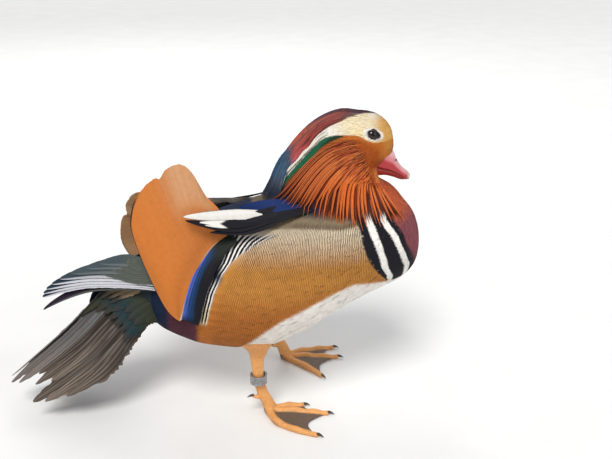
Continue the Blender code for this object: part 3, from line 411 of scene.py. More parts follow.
# How a mesh keeps one, three or four numbers for each point.
LAYER_KINDS = {1: ("FLOAT", "value"), 3: ("FLOAT_VECTOR", "vector"), 4: ("FLOAT_COLOR", "color")}


def add_layer(item, name, values):
    """Keeps a number, a vector or a colour for each point of a mesh."""
    values = np.asarray(values, np.float32)
    kind, field = LAYER_KINDS[values.size // len(item.data.vertices)]
    layer = item.data.attributes.new(name, kind, "POINT")
    layer.data.foreach_set(field, values.ravel())


def facing_out(points, triangles):
    """The triangles, all turned over if the closed mesh they make is inside out."""
    a, b, c = (points[triangles[:, i]] for i in range(3))
    if np.einsum("ij,ij->i", a, np.cross(b, c)).sum() < 0:
        return triangles[:, ::-1]
    return triangles


def paint(item, colours):
    rgba = np.ones((len(item.data.vertices), 4))
    rgba[:, :3] = np.clip(colours, 0, 1)
    add_layer(item, "coat_colour", rgba)


def add_bake_map(item, places):
    corners = np.empty(len(item.data.loops), np.int32)
    item.data.loops.foreach_get("vertex_index", corners)
    layer = item.data.uv_layers.new(name="OFBake")
    layer.data.foreach_set("uv", places[corners].astype(np.float32).ravel())


def attach(item, slot, nodes):
    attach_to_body(item, "root")
    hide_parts(*nodes)


def solid_piece(name, points, triangles, colours, material, slot, *nodes):
    """One closed piece with a colour for each point, or one for all of it."""
    item = add_mesh(name, points, facing_out(points, triangles))
    paint(item, colours)
    item.data.materials.append(material)
    attach(item, slot, nodes)
    return item


def loft(rings):
    """Points and triangles of a closed skin over rings of equal count."""
    rings = np.asarray(rings)
    levels, count = rings.shape[:2]
    points = np.concatenate([rings.reshape(-1, 3), rings[:1].mean(1), rings[-1:].mean(1)])
    i = np.arange(count)
    j = (i + 1) % count
    parts = []
    for level in range(levels - 1):
        a = level * count + i
        b = level * count + j
        parts.append(np.stack([a, b, b + count], 1))
        parts.append(np.stack([a, b + count, a + count], 1))
    hub = np.full(count, levels * count)
    last = (levels - 1) * count
    parts.append(np.stack([j, i, hub], 1))
    parts.append(np.stack([last + i, last + j, hub + 1], 1))
    triangles = np.concatenate(parts)
    return points, facing_out(points, triangles)


def ring_round(middle, across, up, wide, high, count, low=None):
    """A ring of points, as high above its middle as told, and as low below it if that differs."""
    angle = np.linspace(0, 2 * np.pi, count, endpoint=False)
    height = np.sin(angle)
    height = height * np.where(height > 0, high, high if low is None else low)
    return np.asarray(middle) + np.outer(np.cos(angle) * wide, across) + np.outer(height, up)


def lofted(rows, stations, ring):
    """A closed form over rings that are worked out along a smooth curve through rows of sizes."""
    return loft([ring(*row) for row in curve(rows, np.linspace(0, 1, stations))])


def torso_ring(x, wide, tall, level):
    wide, tall = max(wide - TORSO_DEPTH, 1), max(tall - TORSO_DEPTH, 1)
    return ring_round((x, 0, level), ACROSS, UP, wide, tall, 96)


def neck_ring(z, x, long, wide):
    return ring_round((x, 0, z), AHEAD, ACROSS, long - NECK_DEPTH, wide - NECK_DEPTH, 80)


def head_ring(x, wide, top, level, low):
    wide, high, low = (max(size - HEAD_DEPTH, 0.8) for size in (wide, top - level, level - low))
    return ring_round((x, 0, level), ACROSS, UP, wide, high, 80, low)


def joined(parts):
    """Several meshes as one set of points and triangles."""
    points, triangles = zip(*parts)
    starts = np.cumsum([0] + [len(one) for one in points[:-1]])
    return np.concatenate(points), np.concatenate([one + start for one, start in zip(triangles, starts)])


def remeshed(parts, voxel, rounds):
    """One closed even mesh over joined solids, smoothed, as points and triangles."""
    points, triangles = joined(parts)
    item = add_mesh("form", points, triangles)
    shape = item.modifiers.new("even", "REMESH")
    shape.mode = "VOXEL"
    shape.voxel_size = voxel * MM
    soft = item.modifiers.new("soft", "SMOOTH")
    soft.factor = 0.5
    soft.iterations = rounds
    split = item.modifiers.new("split", "TRIANGULATE")
    split.quad_method = "FIXED"
    graph = bpy.context.evaluated_depsgraph_get()
    mesh = bpy.data.meshes.new_from_object(item.evaluated_get(graph))
    bpy.data.objects.remove(item, do_unlink=True)
    points = np.empty(len(mesh.vertices) * 3, np.float32)
    mesh.vertices.foreach_get("co", points)
    triangles = np.empty(len(mesh.loops), np.int32)
    mesh.loops.foreach_get("vertex_index", triangles)
    bpy.data.meshes.remove(mesh)
    return points.reshape(-1, 3).astype(float) / MM - SHIFT, triangles.reshape(-1, 3)


class Skin:
    """The bird's bare form before the head is turned, with smooth normals to grow feathers from."""

    def __init__(self):
        trunk = lofted(TORSO_ROWS, 90, torso_ring)
        parts = [trunk, lofted(NECK_ROWS, 40, neck_ring), lofted(HEAD_ROWS, 70, head_ring)]
        self.points, self.triangles = remeshed(parts, SKIN_VOXEL, 6)
        a, b, c = (self.points[self.triangles[:, i]] for i in range(3))
        flat = np.cross(b - a, c - a)
        self.areas = np.linalg.norm(flat, axis=1) / 2
        self.normals = np.zeros_like(self.points)
        for i in range(3):
            np.add.at(self.normals, self.triangles[:, i], flat)
        self.normals = unit(self.normals)
        self.tree = BVHTree.FromPolygons(self.points.tolist(), self.triangles.tolist())

    def onto(self, places):
        """The nearest places on the skin and the normals there."""
        shape = places.shape
        flat = places.reshape(-1, 3)
        spots = np.empty_like(flat)
        index = np.empty(len(flat), int)
        for i, place in enumerate(flat.tolist()):
            spots[i], _, index[i], _ = self.tree.find_nearest(place)
        corners = self.triangles[index]
        near = self.points[corners]
        weight = 1 / (np.linalg.norm(near - spots[:, None], axis=2) + 0.3)
        normals = unit((self.normals[corners] * weight[..., None]).sum(1))
        return spots.reshape(shape), normals.reshape(shape)

    def from_side(self, x, z, side):
        """Where a line from one side first meets the skin, and the normal there; None where it misses."""
        hit = self.tree.ray_cast(Vector((x, side * BESIDE, z)), Vector((0, -side, 0)))
        return hit[0], hit[1]

    def scattered(self, spacing, draw):
        """Roots spread over the skin, at least the given distance apart, which may vary by place."""
        share = self.areas / self.areas.sum()
        tries = int(self.areas.sum() / AREA_OF_A_TRY)
        face = draw.choice(len(share), tries, p=share)
        u, v = draw.random((2, tries))
        fold = u + v > 1
        u, v = np.where(fold, 1 - u, u), np.where(fold, 1 - v, v)
        a, b, c = (self.points[self.triangles[face, i]] for i in range(3))
        places = a + (b - a) * u[:, None] + (c - a) * v[:, None]
        return thinned(places, spacing(places))


def thinned(places, distances):
    """Drops places that lie closer to a kept one than their distance, with the aid of a coarse grid."""
    cells = np.floor(places / GRID_CELL).astype(int).tolist()
    reach = np.ceil(distances / GRID_CELL).astype(int).tolist()
    grid = {}
    kept = []
    for i, (place, far) in enumerate(zip(places.tolist(), distances.tolist())):
        spans = [range(cell - reach[i], cell + reach[i] + 1) for cell in cells[i]]
        others = (other for cell in product(*spans) for other in grid.get(cell, ()))
        if not any(squared_gap(place, other) < far * far for other in others):
            grid.setdefault(tuple(cells[i]), []).append(place)
            kept.append(i)
    return places[kept]


def squared_gap(a, b):
    return (b[0] - a[0]) ** 2 + (b[1] - a[1]) ** 2 + (b[2] - a[2]) ** 2


def polar(p):
    """Distance and angle about a point low in the head, in the side view, for the head's markings."""
    x = p[..., 0] - MARK_CENTRE[0]
    z = p[..., 2] - MARK_CENTRE[1]
    return np.hypot(x, z), np.degrees(np.arctan2(z, x)) % 360


# Edges of the head's markings: angle about a point low in the head, then distance from it.
CROWN_EDGE = (
    (60, 81, 94, 106, 122, 136, 150, 157, 165, 170.7, 177.4, 183, 187, 192),
    (47.5, 43.9, 41.4, 38.8, 38.6, 38.3, 37.6, 39.8, 41.3, 45.3, 49.8, 54.1, 57, 62),
)
BROW_EDGE = (
    (44, 50, 56, 64, 73, 81, 87, 96, 107, 127, 134, 144, 153, 161, 167, 172, 177, 181, 185, 191),
    (37, 30.6, 27.5, 25.8, 25.7, 26.6, 27.7, 28.1, 29.1, 33.3)
    + (34.4, 34.9, 36.6, 38.7, 41.6, 44.4, 48.2, 52, 55.4, 61.4),
)
GREEN_EDGE = (
    (108, 120, 130, 143, 153, 160, 164, 168, 171, 174, 179, 183, 187, 190),
    (28.3, 28.6, 29.4, 30.8, 32.3, 33.3, 35.4, 38.2, 40.8, 42.8, 47.3, 51.2, 55.5, 59),
)
BLUE_EDGE = ((146, 155, 160, 165, 169, 172), (62, 52, 49, 47.8, 46, 43))


def head_colours(p):
    x, z = p[..., 0], p[..., 2]
    r, angle = polar(p)
    brow = np.interp(angle, *BROW_EDGE)
    green = edge(brow - r, 0.8) * edge(r - np.interp(angle, *GREEN_EDGE), 0.9)
    ring = eye_distance(x, z)
    cheek = layered(
        CHEEK,
        (OCHRE_DEEP, rise(x, 54, 8) * rise(z, 174, 10)),
        (CHEEK_BRIGHT, bell(r, 26, 2.5) * 0.7),
        (HACKLE_DARK, fall(z, 188, 8) * fall(x, 50, 6) * 0.6),
        (HACKLE_PALE, fall(z, 177, 5) * rise(x, 50, 5) * 0.5),
    )
    return layered(
        CREAM,
        (WHITE, rise(angle, 100, 25) * 0.8),
        (WHITE, rise(r, 40, 3) * rise(x, 46, 6) * 0.6),
        (BUFF, bell(r, 30, 3.0) * (fall(angle, 100, 12) * rise(angle, 70, 8)) * 0.6),
        (OCHRE, rise(x, 49, 11) * fall(z, 217, 9)),
        (cheek, edge(brow - r, 1.0)),
        (WHITE, fall(ring, 1.75, 0.5)),
        (LID_DARK, fall(ring, 1.08, 0.1)),
        (GREEN_DARK, green * edge(angle - 107, 6)),
        (GREEN, green * edge(angle - 118, 14) * rise(r, 30.5, 2)),
        (crown_colours(p, r, angle), edge(r - np.interp(angle, *CROWN_EDGE), 0.9)),
    )


def eye_distance(x, z):
    """How far a place in the side view lies from the eye, as a share of the lids' oval."""
    ahead, up = x - EYE[0], z - EYE[1]
    cos, sin = math.cos(EYE_TILT), math.sin(EYE_TILT)
    return np.hypot((ahead * cos - up * sin) / EYE_ROOM[0], (up * cos + ahead * sin) / EYE_ROOM[1])


def crown_colours(p, r, angle):
    middle = fall(np.abs(p[..., 1]), 8.5, 3.5) * fall(angle, 152, 26)
    blue = edge(r - np.interp(angle, *BLUE_EDGE), 1.6) * edge(angle - 150, 5)
    return layered(
        COPPER,
        (COPPER_DEEP, fall(angle, 112, 16) * 0.8),
        (COPPER_BRIGHT, rise(angle, 118, 14) * rise(r, 43, 4)),
        (PINK_RED, rise(angle, 140, 16) * fall(r, 50, 5)),
        (CROWN_DARK, np.maximum(middle * 0.95, fall(angle, 99, 8))),
        (CREST_BLUE, blue),
        (TEAL, bell(r, 50, 4.0) * bell(angle, 170, 7) * blue),
        (BLUE_BLACK, rise(angle, 175, 8) * 0.85),
    )


# Sideways pattern of the breast: height, then where each bar begins.
BAR_EDGES = (
    (
        (99.6, 107, 116, 123, 129.5, 135.4, 140.4, 145.6, 152),
        (58, 52, 45.5, 41.2, 38.6, 36.4, 36.3, 34.5, 32.5),
    ),
    ((105, 114, 121, 128, 134, 139.5, 145, 151), (57.5, 52, 50.6, 48, 45.7, 42.9, 41.1, 39)),
    ((102.5, 112, 120, 126, 132, 138, 145, 149), (64.1, 58.9, 56.6, 53.9, 52.3, 50.1, 47.5, 45.6)),
    ((109, 116, 123, 130, 136.5, 142.4, 148), (72.5, 69, 65.8, 62.4, 58.7, 54, 51)),
    ((109, 115, 121, 128, 135, 141, 147), (77.5, 74.3, 71.8, 67.9, 65.4, 61.2, 56.8)),
)
REAR_BAR_PERIOD = 1.9
LINE_PERIOD = 1.3
BELLY_EDGE = (
    (-110, -75, -55, -46, -39, -31, -21.5, -11, -1, 10, 20.5, 31.5, 43.5, 57, 66, 76, 90),
    (40, 44, 48, 56, 66, 75, 83, 88, 93, 98, 102, 105, 102, 98.7, 97, 98, 100),
)
FLANK_TOP = ((-60, -31, -18, -4, 8.5, 21.5, 39, 60), (138, 142.5, 143.5, 144.5, 145, 145, 147, 151))
FLANK_REAR = (
    (57, 66, 79, 92, 104, 117, 124, 132.5, 139, 142.6, 145),
    (-74, -77, -75.5, -73.1, -70, -64, -58.8, -54.5, -48.9, -44, -34),
)


def rear_distance(p):
    """How far a place on the flank lies ahead of the flank's rear edge."""
    z = p[..., 2]
    slope = np.interp(z, (60, 110, 124, 136, 143), (1.0, 0.88, 0.76, 0.62, 0.38))
    return (p[..., 0] - np.interp(z, *FLANK_REAR)) * slope


def trunk_colours(p):
    x, z = p[..., 0], p[..., 2]
    above = z - np.interp(x, *FLANK_TOP)
    rear = rear_distance(p)
    first, last = bar_edge(z, 0), bar_edge(z, -1)
    side = edge(z - 96, 5)
    dark = fall(z, 126, 14) * fall(x, last + 9, 8)
    breast = layered(MAROON, (BREAST_RUST, rise(z, 138, 14)), (MAROON_DARK, dark))
    return layered(
        GOLD,
        (GOLD_PALE, rise(z, 118, 27) * 0.95),
        (RUST, fall(z, 114, 32)),
        (RUST, fall(rear, 22, 30) * fall(z, 116, 30) * 0.5),
        (mix(WHITE, BUFF, fall(z, 104, 16) * 0.7), rear_bars(p)),
        (OLIVE, edge(above, 1.6)),
        (MANTLE, edge(above - 5.5, 3.5) * 0.7),
        (MANTLE_OLIVE, edge(z - 148, 4) * edge(-20 - x, 8) * 0.8),
        (BLUE_BLACK, edge(-rear, 1.0) * edge(z - 80, 6)),
        (WHITE, edge(x - first - 1.5, 0.8) * side),
        (BLACK, edge(x - last - 1.2, 0.8) * side),
        (breast, edge(x - last - 3, 1.6) * edge(z - 90, 8)),
        (BELLY, edge(np.interp(x, *BELLY_EDGE) - z, 3.0)),
        (PURPLE_TUFT, edge(-77.5 - x, 3) * edge(90 - z, 5)),
        (BLUE_BLACK, edge(-98 - x, 4)),
        (BELLY, edge(50 - z, 4) * edge(-76 - x, 8)),
        (BLUE_BLACK, edge(-60 - x, 6) * edge(z - 112, 8)),
    )


def bar_edge(z, number):
    """Where one edge of the breast's bars lies at a height."""
    return np.interp(z, *BAR_EDGES[number])


def rear_bars(p):
    """How strongly the black and white lines along the rear edge of the flank show."""
    z, rear = p[..., 2], rear_distance(p)
    reach = 4.3 + 8.0 * rise(z, 122, 18)
    return edge(reach - rear, 1.2) * edge(rear + 0.4, 0.6) * edge(z - 80, 6) * edge(140 - z, 3)


def bands(p):
    """Phase and strength of the sharp bars: black where the sine of pi times the phase is negative."""
    x, z = p[..., 0], p[..., 2]
    edges = [bar_edge(z, number) for number in range(len(BAR_EDGES))]
    phase = 1 + (x - edges[0]) / np.maximum(edges[1] - edges[0], 0.5)
    for number in range(1, len(edges)):
        wide = 4.0 if number == len(edges) - 1 else edges[number + 1] - edges[number]
        later = number + 1 + (x - edges[number]) / np.maximum(wide, 0.5)
        phase = np.where(x > edges[number], later, phase)
    front = edge(x - edges[0] + 0.5, 0.8) * edge(edges[-1] + 3 - x, 1.6) * edge(z - 97, 3)
    front = front * edge(z - np.interp(x, *BELLY_EDGE), 2.0) * edge(153 - z, 4)
    rear = rear_bars(p) * (1 - fall(z, 84, 12))
    turns = rear_distance(p) * 2 / REAR_BAR_PERIOD + 0.4
    behind = x < 0
    return np.stack([np.where(behind, turns, phase), np.where(behind, rear, front), np.zeros_like(x)], -1)


def neck_colours(p):
    x, z = p[..., 0], p[..., 2]
    # Kept dark under the hackles: partly the neck's own dark red-brown, partly painted shade beneath the
    # hackles.
    return layered(
        NECK_RUST,
        (BREAST_RUST, rise(x, 44, 12)),
        (BLUE_BLACK, edge(10 - x, 8) * edge(z - 140, 4)),
        (MANTLE_OLIVE, edge(-14 - x, 6) * edge(157 - z, 4)),
    )


def coat_colours(p):
    """Linear colour of the plumage at places on the bird before the head is turned."""
    z = p[..., 2]
    neck = (neck_colours(p), edge(z - 152, 5))
    return layered(trunk_colours(p), neck, (head_colours(p), edge(z - 166, 5)))


def vermiculation(p):
    """How strongly the fine dark wavy lines show: on the flanks, and weaker above them."""
    x, z = p[..., 0], p[..., 2]
    ahead = edge(bar_edge(z, 0) - x - 1, 1.5)
    behind = rise(rear_distance(p), 5, 6)
    low = edge(z - np.interp(x, *BELLY_EDGE) - 2, 3)
    high = edge(np.interp(x, *FLANK_TOP) + 3 - z, 3)
    return ahead * behind * low * high * (0.55 + 0.60 * rise(z, 104, 30))


def line_places(p):
    """Places that run along the fine wavy lines, which turn with the rear edge of the flank."""
    x, z = p[..., 0], p[..., 2]
    run = x - fall(x, 30, 90) * (np.interp(z, *FLANK_REAR) + 70)
    return np.stack([run, p[..., 1] * 0.3, z], -1)


def markings(p):
    """What the material draws the wavy lines and bars of the trunk from, by layer name."""
    return {"lay": line_places(p), "bands": bands(p), "vermiculate": vermiculation(p)}


def unwrapped(p):
    """A place on the skin's own unwrap: the trunk in the lower half and the head and neck above."""
    x, y, z = p[..., 0], p[..., 1], p[..., 2]
    level = np.interp(x, (-112, -68, -34, 24, 88), (85, 94, 97, 118, 119))
    turn = np.arctan2(y, z - level) / (2 * np.pi) + 0.5
    trunk = np.stack([0.02 + 0.96 * (x + 115) / 206, 0.02 + 0.45 * turn], -1)
    about = np.arctan2(y, x - 22) / (2 * np.pi) + 0.5
    height = np.degrees(np.arctan2(z - 165, np.hypot(x - 22, y)))
    head = np.stack([0.02 + 0.96 * about, 0.53 + 0.45 * np.clip((height + 50) / 140, 0, 1)], -1)
    return np.clip(np.where((z > 150)[..., None], head, trunk), 0.005, 0.995)


def flow(p, n):
    """The way the feathers lie: back along the trunk, down the neck and breast, back over the head."""
    x, z = p[..., 0], p[..., 2]
    way = layered(
        (-1.0, 0, -0.18),
        (FLOW_DOWN, rise(n[..., 0], 0.15, 0.6) * (z < 165)),
        (FLOW_DOWN, rise(z, 140, 14) * fall(z, 172, 10)),
        ((-0.75, 0, -0.65), rise(z, 168, 8) * fall(z, 190, 8)),
        ((-0.6, 0, -0.8), fall(x, 8, 14) * rise(z, 158, 6)),
    )
    return unit(way - n * (way * n).sum(-1, keepdims=True))


def march(skin, roots, lengths, lifts, swing):
    """Paths that follow the skin along the lie of the coat, raised by the given heights."""
    path = np.empty((len(roots), len(lifts), 3))
    out = np.empty_like(path)
    spot, normal = skin.onto(roots)
    step = (lengths / (len(lifts) - 1))[:, None]
    for row, lift in enumerate(lifts):
        path[:, row] = spot + normal * lift
        out[:, row] = normal
        if row < len(lifts) - 1:
            run = flow(spot, normal)
            run = unit(run + np.cross(normal, run) * swing[:, None])
            spot, normal = skin.onto(spot + run * step)
    return path, out


def tufts(path, out, widths, depths, droop=0.15):
    """Slim closed feathers of three sides: points, triangles, and the place along and across each."""
    count, rows = path.shape[:2]
    run = np.empty_like(path)
    run[:, 1:-1] = path[:, 2:] - path[:, :-2]
    run[:, 0] = path[:, 1] - path[:, 0]
    run[:, -1] = path[:, -1] - path[:, -2]
    run = unit(run)
    out = unit(out - run * (out * run).sum(-1, keepdims=True))
    across = np.cross(run, out)
    wide = widths[..., None]
    left = path - across * wide - out * wide * droop
    right = path + across * wide - out * wide * droop
    ridge = path + out * depths[..., None]
    points = np.stack([left, ridge, right], 2).reshape(-1, 3)
    one = []
    for row in range(rows - 1):
        for j in range(3):
            a = 3 * row + j
            b = 3 * row + (j + 1) % 3
            one += [(a, b, b + 3), (a, b + 3, a + 3)]
    end = 3 * (rows - 1)
    one += [(0, 2, 1), (end, end + 1, end + 2)]
    one = facing_out(points[: 3 * rows], np.array(one))
    starts = np.arange(count)[:, None, None] * (3 * rows)
    triangles = (one[None] + starts).reshape(-1, 3)
    share = np.linspace(0, 1, rows)
    place = np.stack(np.meshgrid(share, (-1.0, 0.0, 1.0), indexing="ij"), -1)
    place = np.tile(place.reshape(-1, 2), (count, 1))
    return points, triangles, place


def tapered(widest, peak, tip, rows):
    """Half widths of many feathers, fullest at one share of their length."""
    share = np.linspace(0, 1, rows)
    grow = 0.45 + 0.55 * smooth(share / peak)
    shrink = 1 - (1 - tip) * (np.clip(share - peak, 0, 1) / (1 - peak)) ** 1.7
    return np.asarray(widest)[:, None] * np.where(share < peak, grow, shrink)[None]


def coat_piece(name, parts, slot, nodes, material):
    """Joins feathers into one mesh with its colours, the layers its material reads, and its bake map."""
    item = add_mesh(name, *joined([(part["points"], part["triangles"]) for part in parts]))
    item.data.set_sharp_from_angle(angle=FOLD_ANGLE)
    paint(item, np.concatenate([part["colours"] for part in parts]))
    for layer in ("vane", "lay", "bands", "vermiculate"):
        if layer in parts[0]:
            add_layer(item, layer, np.concatenate([part[layer] for part in parts]))
    if "places" in parts[0]:
        add_bake_map(item, np.concatenate([part["places"] for part in parts]))
    item.data.materials.append(material)
    attach(item, slot, nodes)


def feather_part(path, out, widths, depths, draw, colour=None, droop=0.15, jitter=0.5):
    """One batch of feathers ready for coat_piece, coloured by the markings unless told otherwise."""
    count, rows = path.shape[:2]
    corners = 3 * rows
    points, triangles, place = tufts(path, out, widths, depths, droop)
    fleck = np.repeat(draw.random(count), corners)
    read = points + np.repeat(draw.normal(0, jitter, (count, 3)), corners, axis=0)
    shades = coat_colours(read) if colour is None else colour(read, place, fleck)
    width = np.repeat(widths.max(1), corners)
    length = np.repeat(np.linalg.norm(path[:, -1] - path[:, 0], axis=1), corners)
    base = np.repeat(unwrapped(path[:, 0]), corners, axis=0)
    return {
        "points": pose(points),
        "triangles": triangles,
        "colours": shades * (1 + 0.16 * (fleck - 0.5))[:, None],
        "vane": np.stack([place[:, 1] * width, place[:, 0] * length, place[:, 0]], 1),
        "places": base + np.stack([place[:, 1] * 0.5, place[:, 0] - 0.5], 1) * PATCH,
    }


class Nodes:
    """Short hand for building one material's node tree."""

    def __init__(self, name):
        self.material = bpy.data.materials.new(name)
        self.material.use_nodes = True
        self.tree = self.material.node_tree
        self.shader = self.tree.nodes["Principled BSDF"]

    def feed(self, node, inputs):
        """Sets inputs to numbers or colours, or links them to other nodes."""
        for key, value in inputs.items():
            if isinstance(value, bpy.types.NodeSocket):
                self.tree.links.new(value, node.inputs[key])
            else:
                node.inputs[key].default_value = (*value, 1.0) if isinstance(value, tuple) else value

    def add(self, kind, inputs, **settings):
        node = self.tree.nodes.new(kind)
        for key, value in settings.items():
            setattr(node, key, value)
        self.feed(node, inputs)
        return node

    def attribute(self, name, output):
        return self.add("ShaderNodeAttribute", {}, attribute_name=name).outputs[output]

    def place(self):
        return self.add("ShaderNodeTexCoord", {}).outputs["Object"]

    def split(self, vector):
        return self.add("ShaderNodeSeparateXYZ", {0: vector}).outputs

    def noise(self, scale, detail, vector=None):
        inputs = {"Scale": scale, "Detail": detail, "Vector": vector or self.place()}
        return self.add("ShaderNodeTexNoise", inputs).outputs["Fac"]

    def math(self, operation, *values):
        return self.add("ShaderNodeMath", dict(enumerate(values)), operation=operation).outputs[0]

    def remap(self, value, low, high, to_low, to_high):
        inputs = {"Value": value, "From Min": low, "From Max": high, "To Min": to_low, "To Max": to_high}
        return self.add("ShaderNodeMapRange", inputs).outputs["Result"]

    def blend(self, amount, first, second, mode="MIX"):
        inputs = {0: amount, 6: first, 7: second}
        return self.add("ShaderNodeMix", inputs, data_type="RGBA", blend_type=mode).outputs[2]

    def dimmed(self, colour, share):
        """A colour times a grey share of at most 1."""
        return self.blend(1.0, colour, self.blend(share, (0, 0, 0), (1, 1, 1)), "MULTIPLY")

    def mottled(self, scale, detail, low, high):
        """The piece's own colour, made slightly uneven."""
        share = self.remap(self.noise(scale, detail), 0.3, 0.7, low, high)
        return self.dimmed(self.attribute("coat_colour", "Color"), share)

    def bump(self, height, strength, distance):
        inputs = {"Strength": strength, "Distance": distance, "Height": height}
        self.feed(self.shader, {"Normal": self.add("ShaderNodeBump", inputs).outputs["Normal"]})

    def finish(self, colour, roughness, coat=0.0, specular=0.4):
        inputs = {"Base Color": colour, "Roughness": roughness, "Specular IOR Level": specular}
        self.feed(self.shader, {**inputs, "Coat Weight": coat, "Coat Roughness": 0.3})
        return self.material


def barbs(nodes, period):
    """Fine slanting lines on both sides of a feather's shaft, from its vane places in millimetres."""
    aside, along, _ = nodes.split(nodes.attribute("vane", "Vector"))
    slant = nodes.math("SUBTRACT", along, nodes.math("MULTIPLY", nodes.math("ABSOLUTE", aside), 1.3))
    turn = nodes.math("MULTIPLY", slant, 2 * math.pi / period)
    return nodes.remap(nodes.math("SINE", turn), -1.0, 1.0, 0.0, 1.0)


def lined(nodes, colour):
    """Fine dark wavy lines across the flanks, laid along their own places, and black bars."""
    lay = nodes.attribute("lay", "Vector")
    waver = nodes.math("MULTIPLY", nodes.noise(0.22, 3, lay), 10.0)
    turn = nodes.math("MULTIPLY_ADD", nodes.split(lay)[0], 2 * math.pi / LINE_PERIOD, waver)
    thin = nodes.remap(nodes.math("SINE", turn), -0.3, 0.6, 0.0, 1.0)
    strength = nodes.math("MULTIPLY", thin, nodes.attribute("vermiculate", "Fac"))
    colour = nodes.blend(nodes.math("MULTIPLY", strength, 0.80), colour, LINE_DARK)
    phase, show, _ = nodes.split(nodes.attribute("bands", "Vector"))
    fray = nodes.math("MULTIPLY", nodes.noise(1.1, 2, lay), 0.35)
    wave = nodes.math("SINE", nodes.math("MULTIPLY", nodes.math("ADD", phase, fray), math.pi))
    black = nodes.math("MULTIPLY", nodes.remap(wave, 0.0, 0.5, 1.0, 0.0), show)
    return nodes.blend(black, colour, BLACK)


def feather_material(name, roughness, period, depth=0.3, specular=0.12, lines=False, relief=0.3):
    """Plumage: the coat's own colour with barbs and slight unevenness, and wavy lines on the flanks."""
    nodes = Nodes(name)
    colour = nodes.mottled(320, 3, 0.93, 1.05)
    if lines:
        colour = lined(nodes, colour)
    barb = barbs(nodes, period)
    colour = nodes.dimmed(colour, nodes.remap(barb, 0.0, 1.0, 1.0 - depth * 0.6, 1.0 + depth * 0.15))
    nodes.bump(barb, relief, 0.00015)
    return nodes.finish(colour, roughness, specular=specular)


def skin_material():
    nodes = Nodes("bare_coat")
    return nodes.finish(lined(nodes, nodes.mottled(500, 4, 0.75, 0.95)), 0.85)


def make_skin(skin):
    points, colours = pose(skin.points), coat_colours(skin.points)
    nodes = ("torso", "neck", "head")
    item = solid_piece("skin", points, skin.triangles, colours, skin_material(), "body_plumage", *nodes)
    for name, values in markings(skin.points).items():
        add_layer(item, name, values)


def spacing_of(p):
    """Distance between feather roots: widest on the trunk and smallest on the face."""
    x, z = p[..., 0], p[..., 2]
    body = 2.9 - 0.8 * rise(x, 25, 30) - 0.6 * fall(z, 66, 20)
    far = body + (2.0 - body) * rise(z, 140, 14)
    head = 1.25 - 0.32 * rise(x, 38, 14)
    return far + (head - far) * rise(z, 164, 10)


# Small feathers: slot, nodes, then lift, half width as a share of their spacing, its share left at
# the tip, and thickness as a share of half width.
SMALL_FEATHERS = {
    "head": ("head_plumage", ("head",), (0.28, 0.5, 0.12, 0.06)),
    "trunk": ("body_plumage", ("torso", "neck"), (0.30, 0.72, 0.35, 0.04)),
}


def eye_room(p):
    """True where the lids and the eye are, so that no feather grows there."""
    return (eye_distance(p[..., 0], p[..., 2]) < 1.0) & (np.abs(p[..., 1]) > 6)


def gape_room(p):
    """True round the corners of the bill, which stay bare too."""
    return (np.hypot(p[..., 0] - GAPE[0], p[..., 2] - GAPE[1]) < GAPE_ROOM) & (np.abs(p[..., 1]) < 7)


def small_feathers(skin, roots, draw, lift, wide, tip, thick):
    gap = spacing_of(roots)
    length = gap * draw.uniform(*SMALL_LENGTHS, len(roots))
    lifts = lift * np.array([-0.4, 0.7, 1.0, 1.0, 0.9])
    path, out = march(skin, roots, length, lifts, draw.normal(0, 0.05, len(roots)))
    path += out * draw.uniform(-0.03, 0.03, len(roots))[:, None, None]
    widths = tapered(gap * wide, 0.55, tip, len(lifts))
    return feather_part(path, out, widths, widths * thick, draw, droop=0.02, jitter=0.06)


def body_feathers(skin, draw, looks):
    """Small feathers over the whole skin, flat and close, in joined meshes of a few thousand each."""
    roots = skin.scattered(spacing_of, draw)
    roots = roots[~eye_room(roots) & ~gape_room(roots)]
    head = roots[:, 2] > HEAD_FROM
    for name, chosen in (("head", roots[head]), ("trunk", roots[~head])):
        slot, nodes, sizes = SMALL_FEATHERS[name]
        order = chosen[:, 0].argsort(kind="stable")
        for number, block in enumerate(np.array_split(order, 1 + len(order) // FEATHERS_A_PIECE)):
            made = small_feathers(skin, chosen[block], draw, *sizes)
            if name == "trunk":
                made.update(markings(made["points"]))
            coat_piece(f"feathers_{name}_{number + 1}", [made], slot, nodes, looks[name])


def side_places(skin, flat, side):
    """Places on one side of the skin that lie on the given lines of the side view."""
    places = np.empty((*flat.shape[:2], 3))
    for i, line in enumerate(flat.tolist()):
        for j, (x, z) in enumerate(line):
            places[i, j] = skin.from_side(x, z, side)[0] or (x, side * 9, z)
    return skin.onto(places)


def hackle_lines(at, share):
    """Places in the side view on each hackle, on cubic curves between the guide lines."""
    guides = np.array(HACKLE_GUIDES)
    knots = []
    for number in range(4):
        places = [np.interp(at, HACKLE_SHARES, guides[:, number, axis]) for axis in (0, 1)]
        knots.append(np.stack(places, -1))
    weights = (
        -4.5 * (share - 1 / 3) * (share - 2 / 3) * (share - 1),
        13.5 * share * (share - 2 / 3) * (share - 1),
        -13.5 * share * (share - 1 / 3) * (share - 1),
        4.5 * share * (share - 1 / 3) * (share - 2 / 3),
    )
    return sum(weight[..., None] * knot for weight, knot in zip(weights, knots))


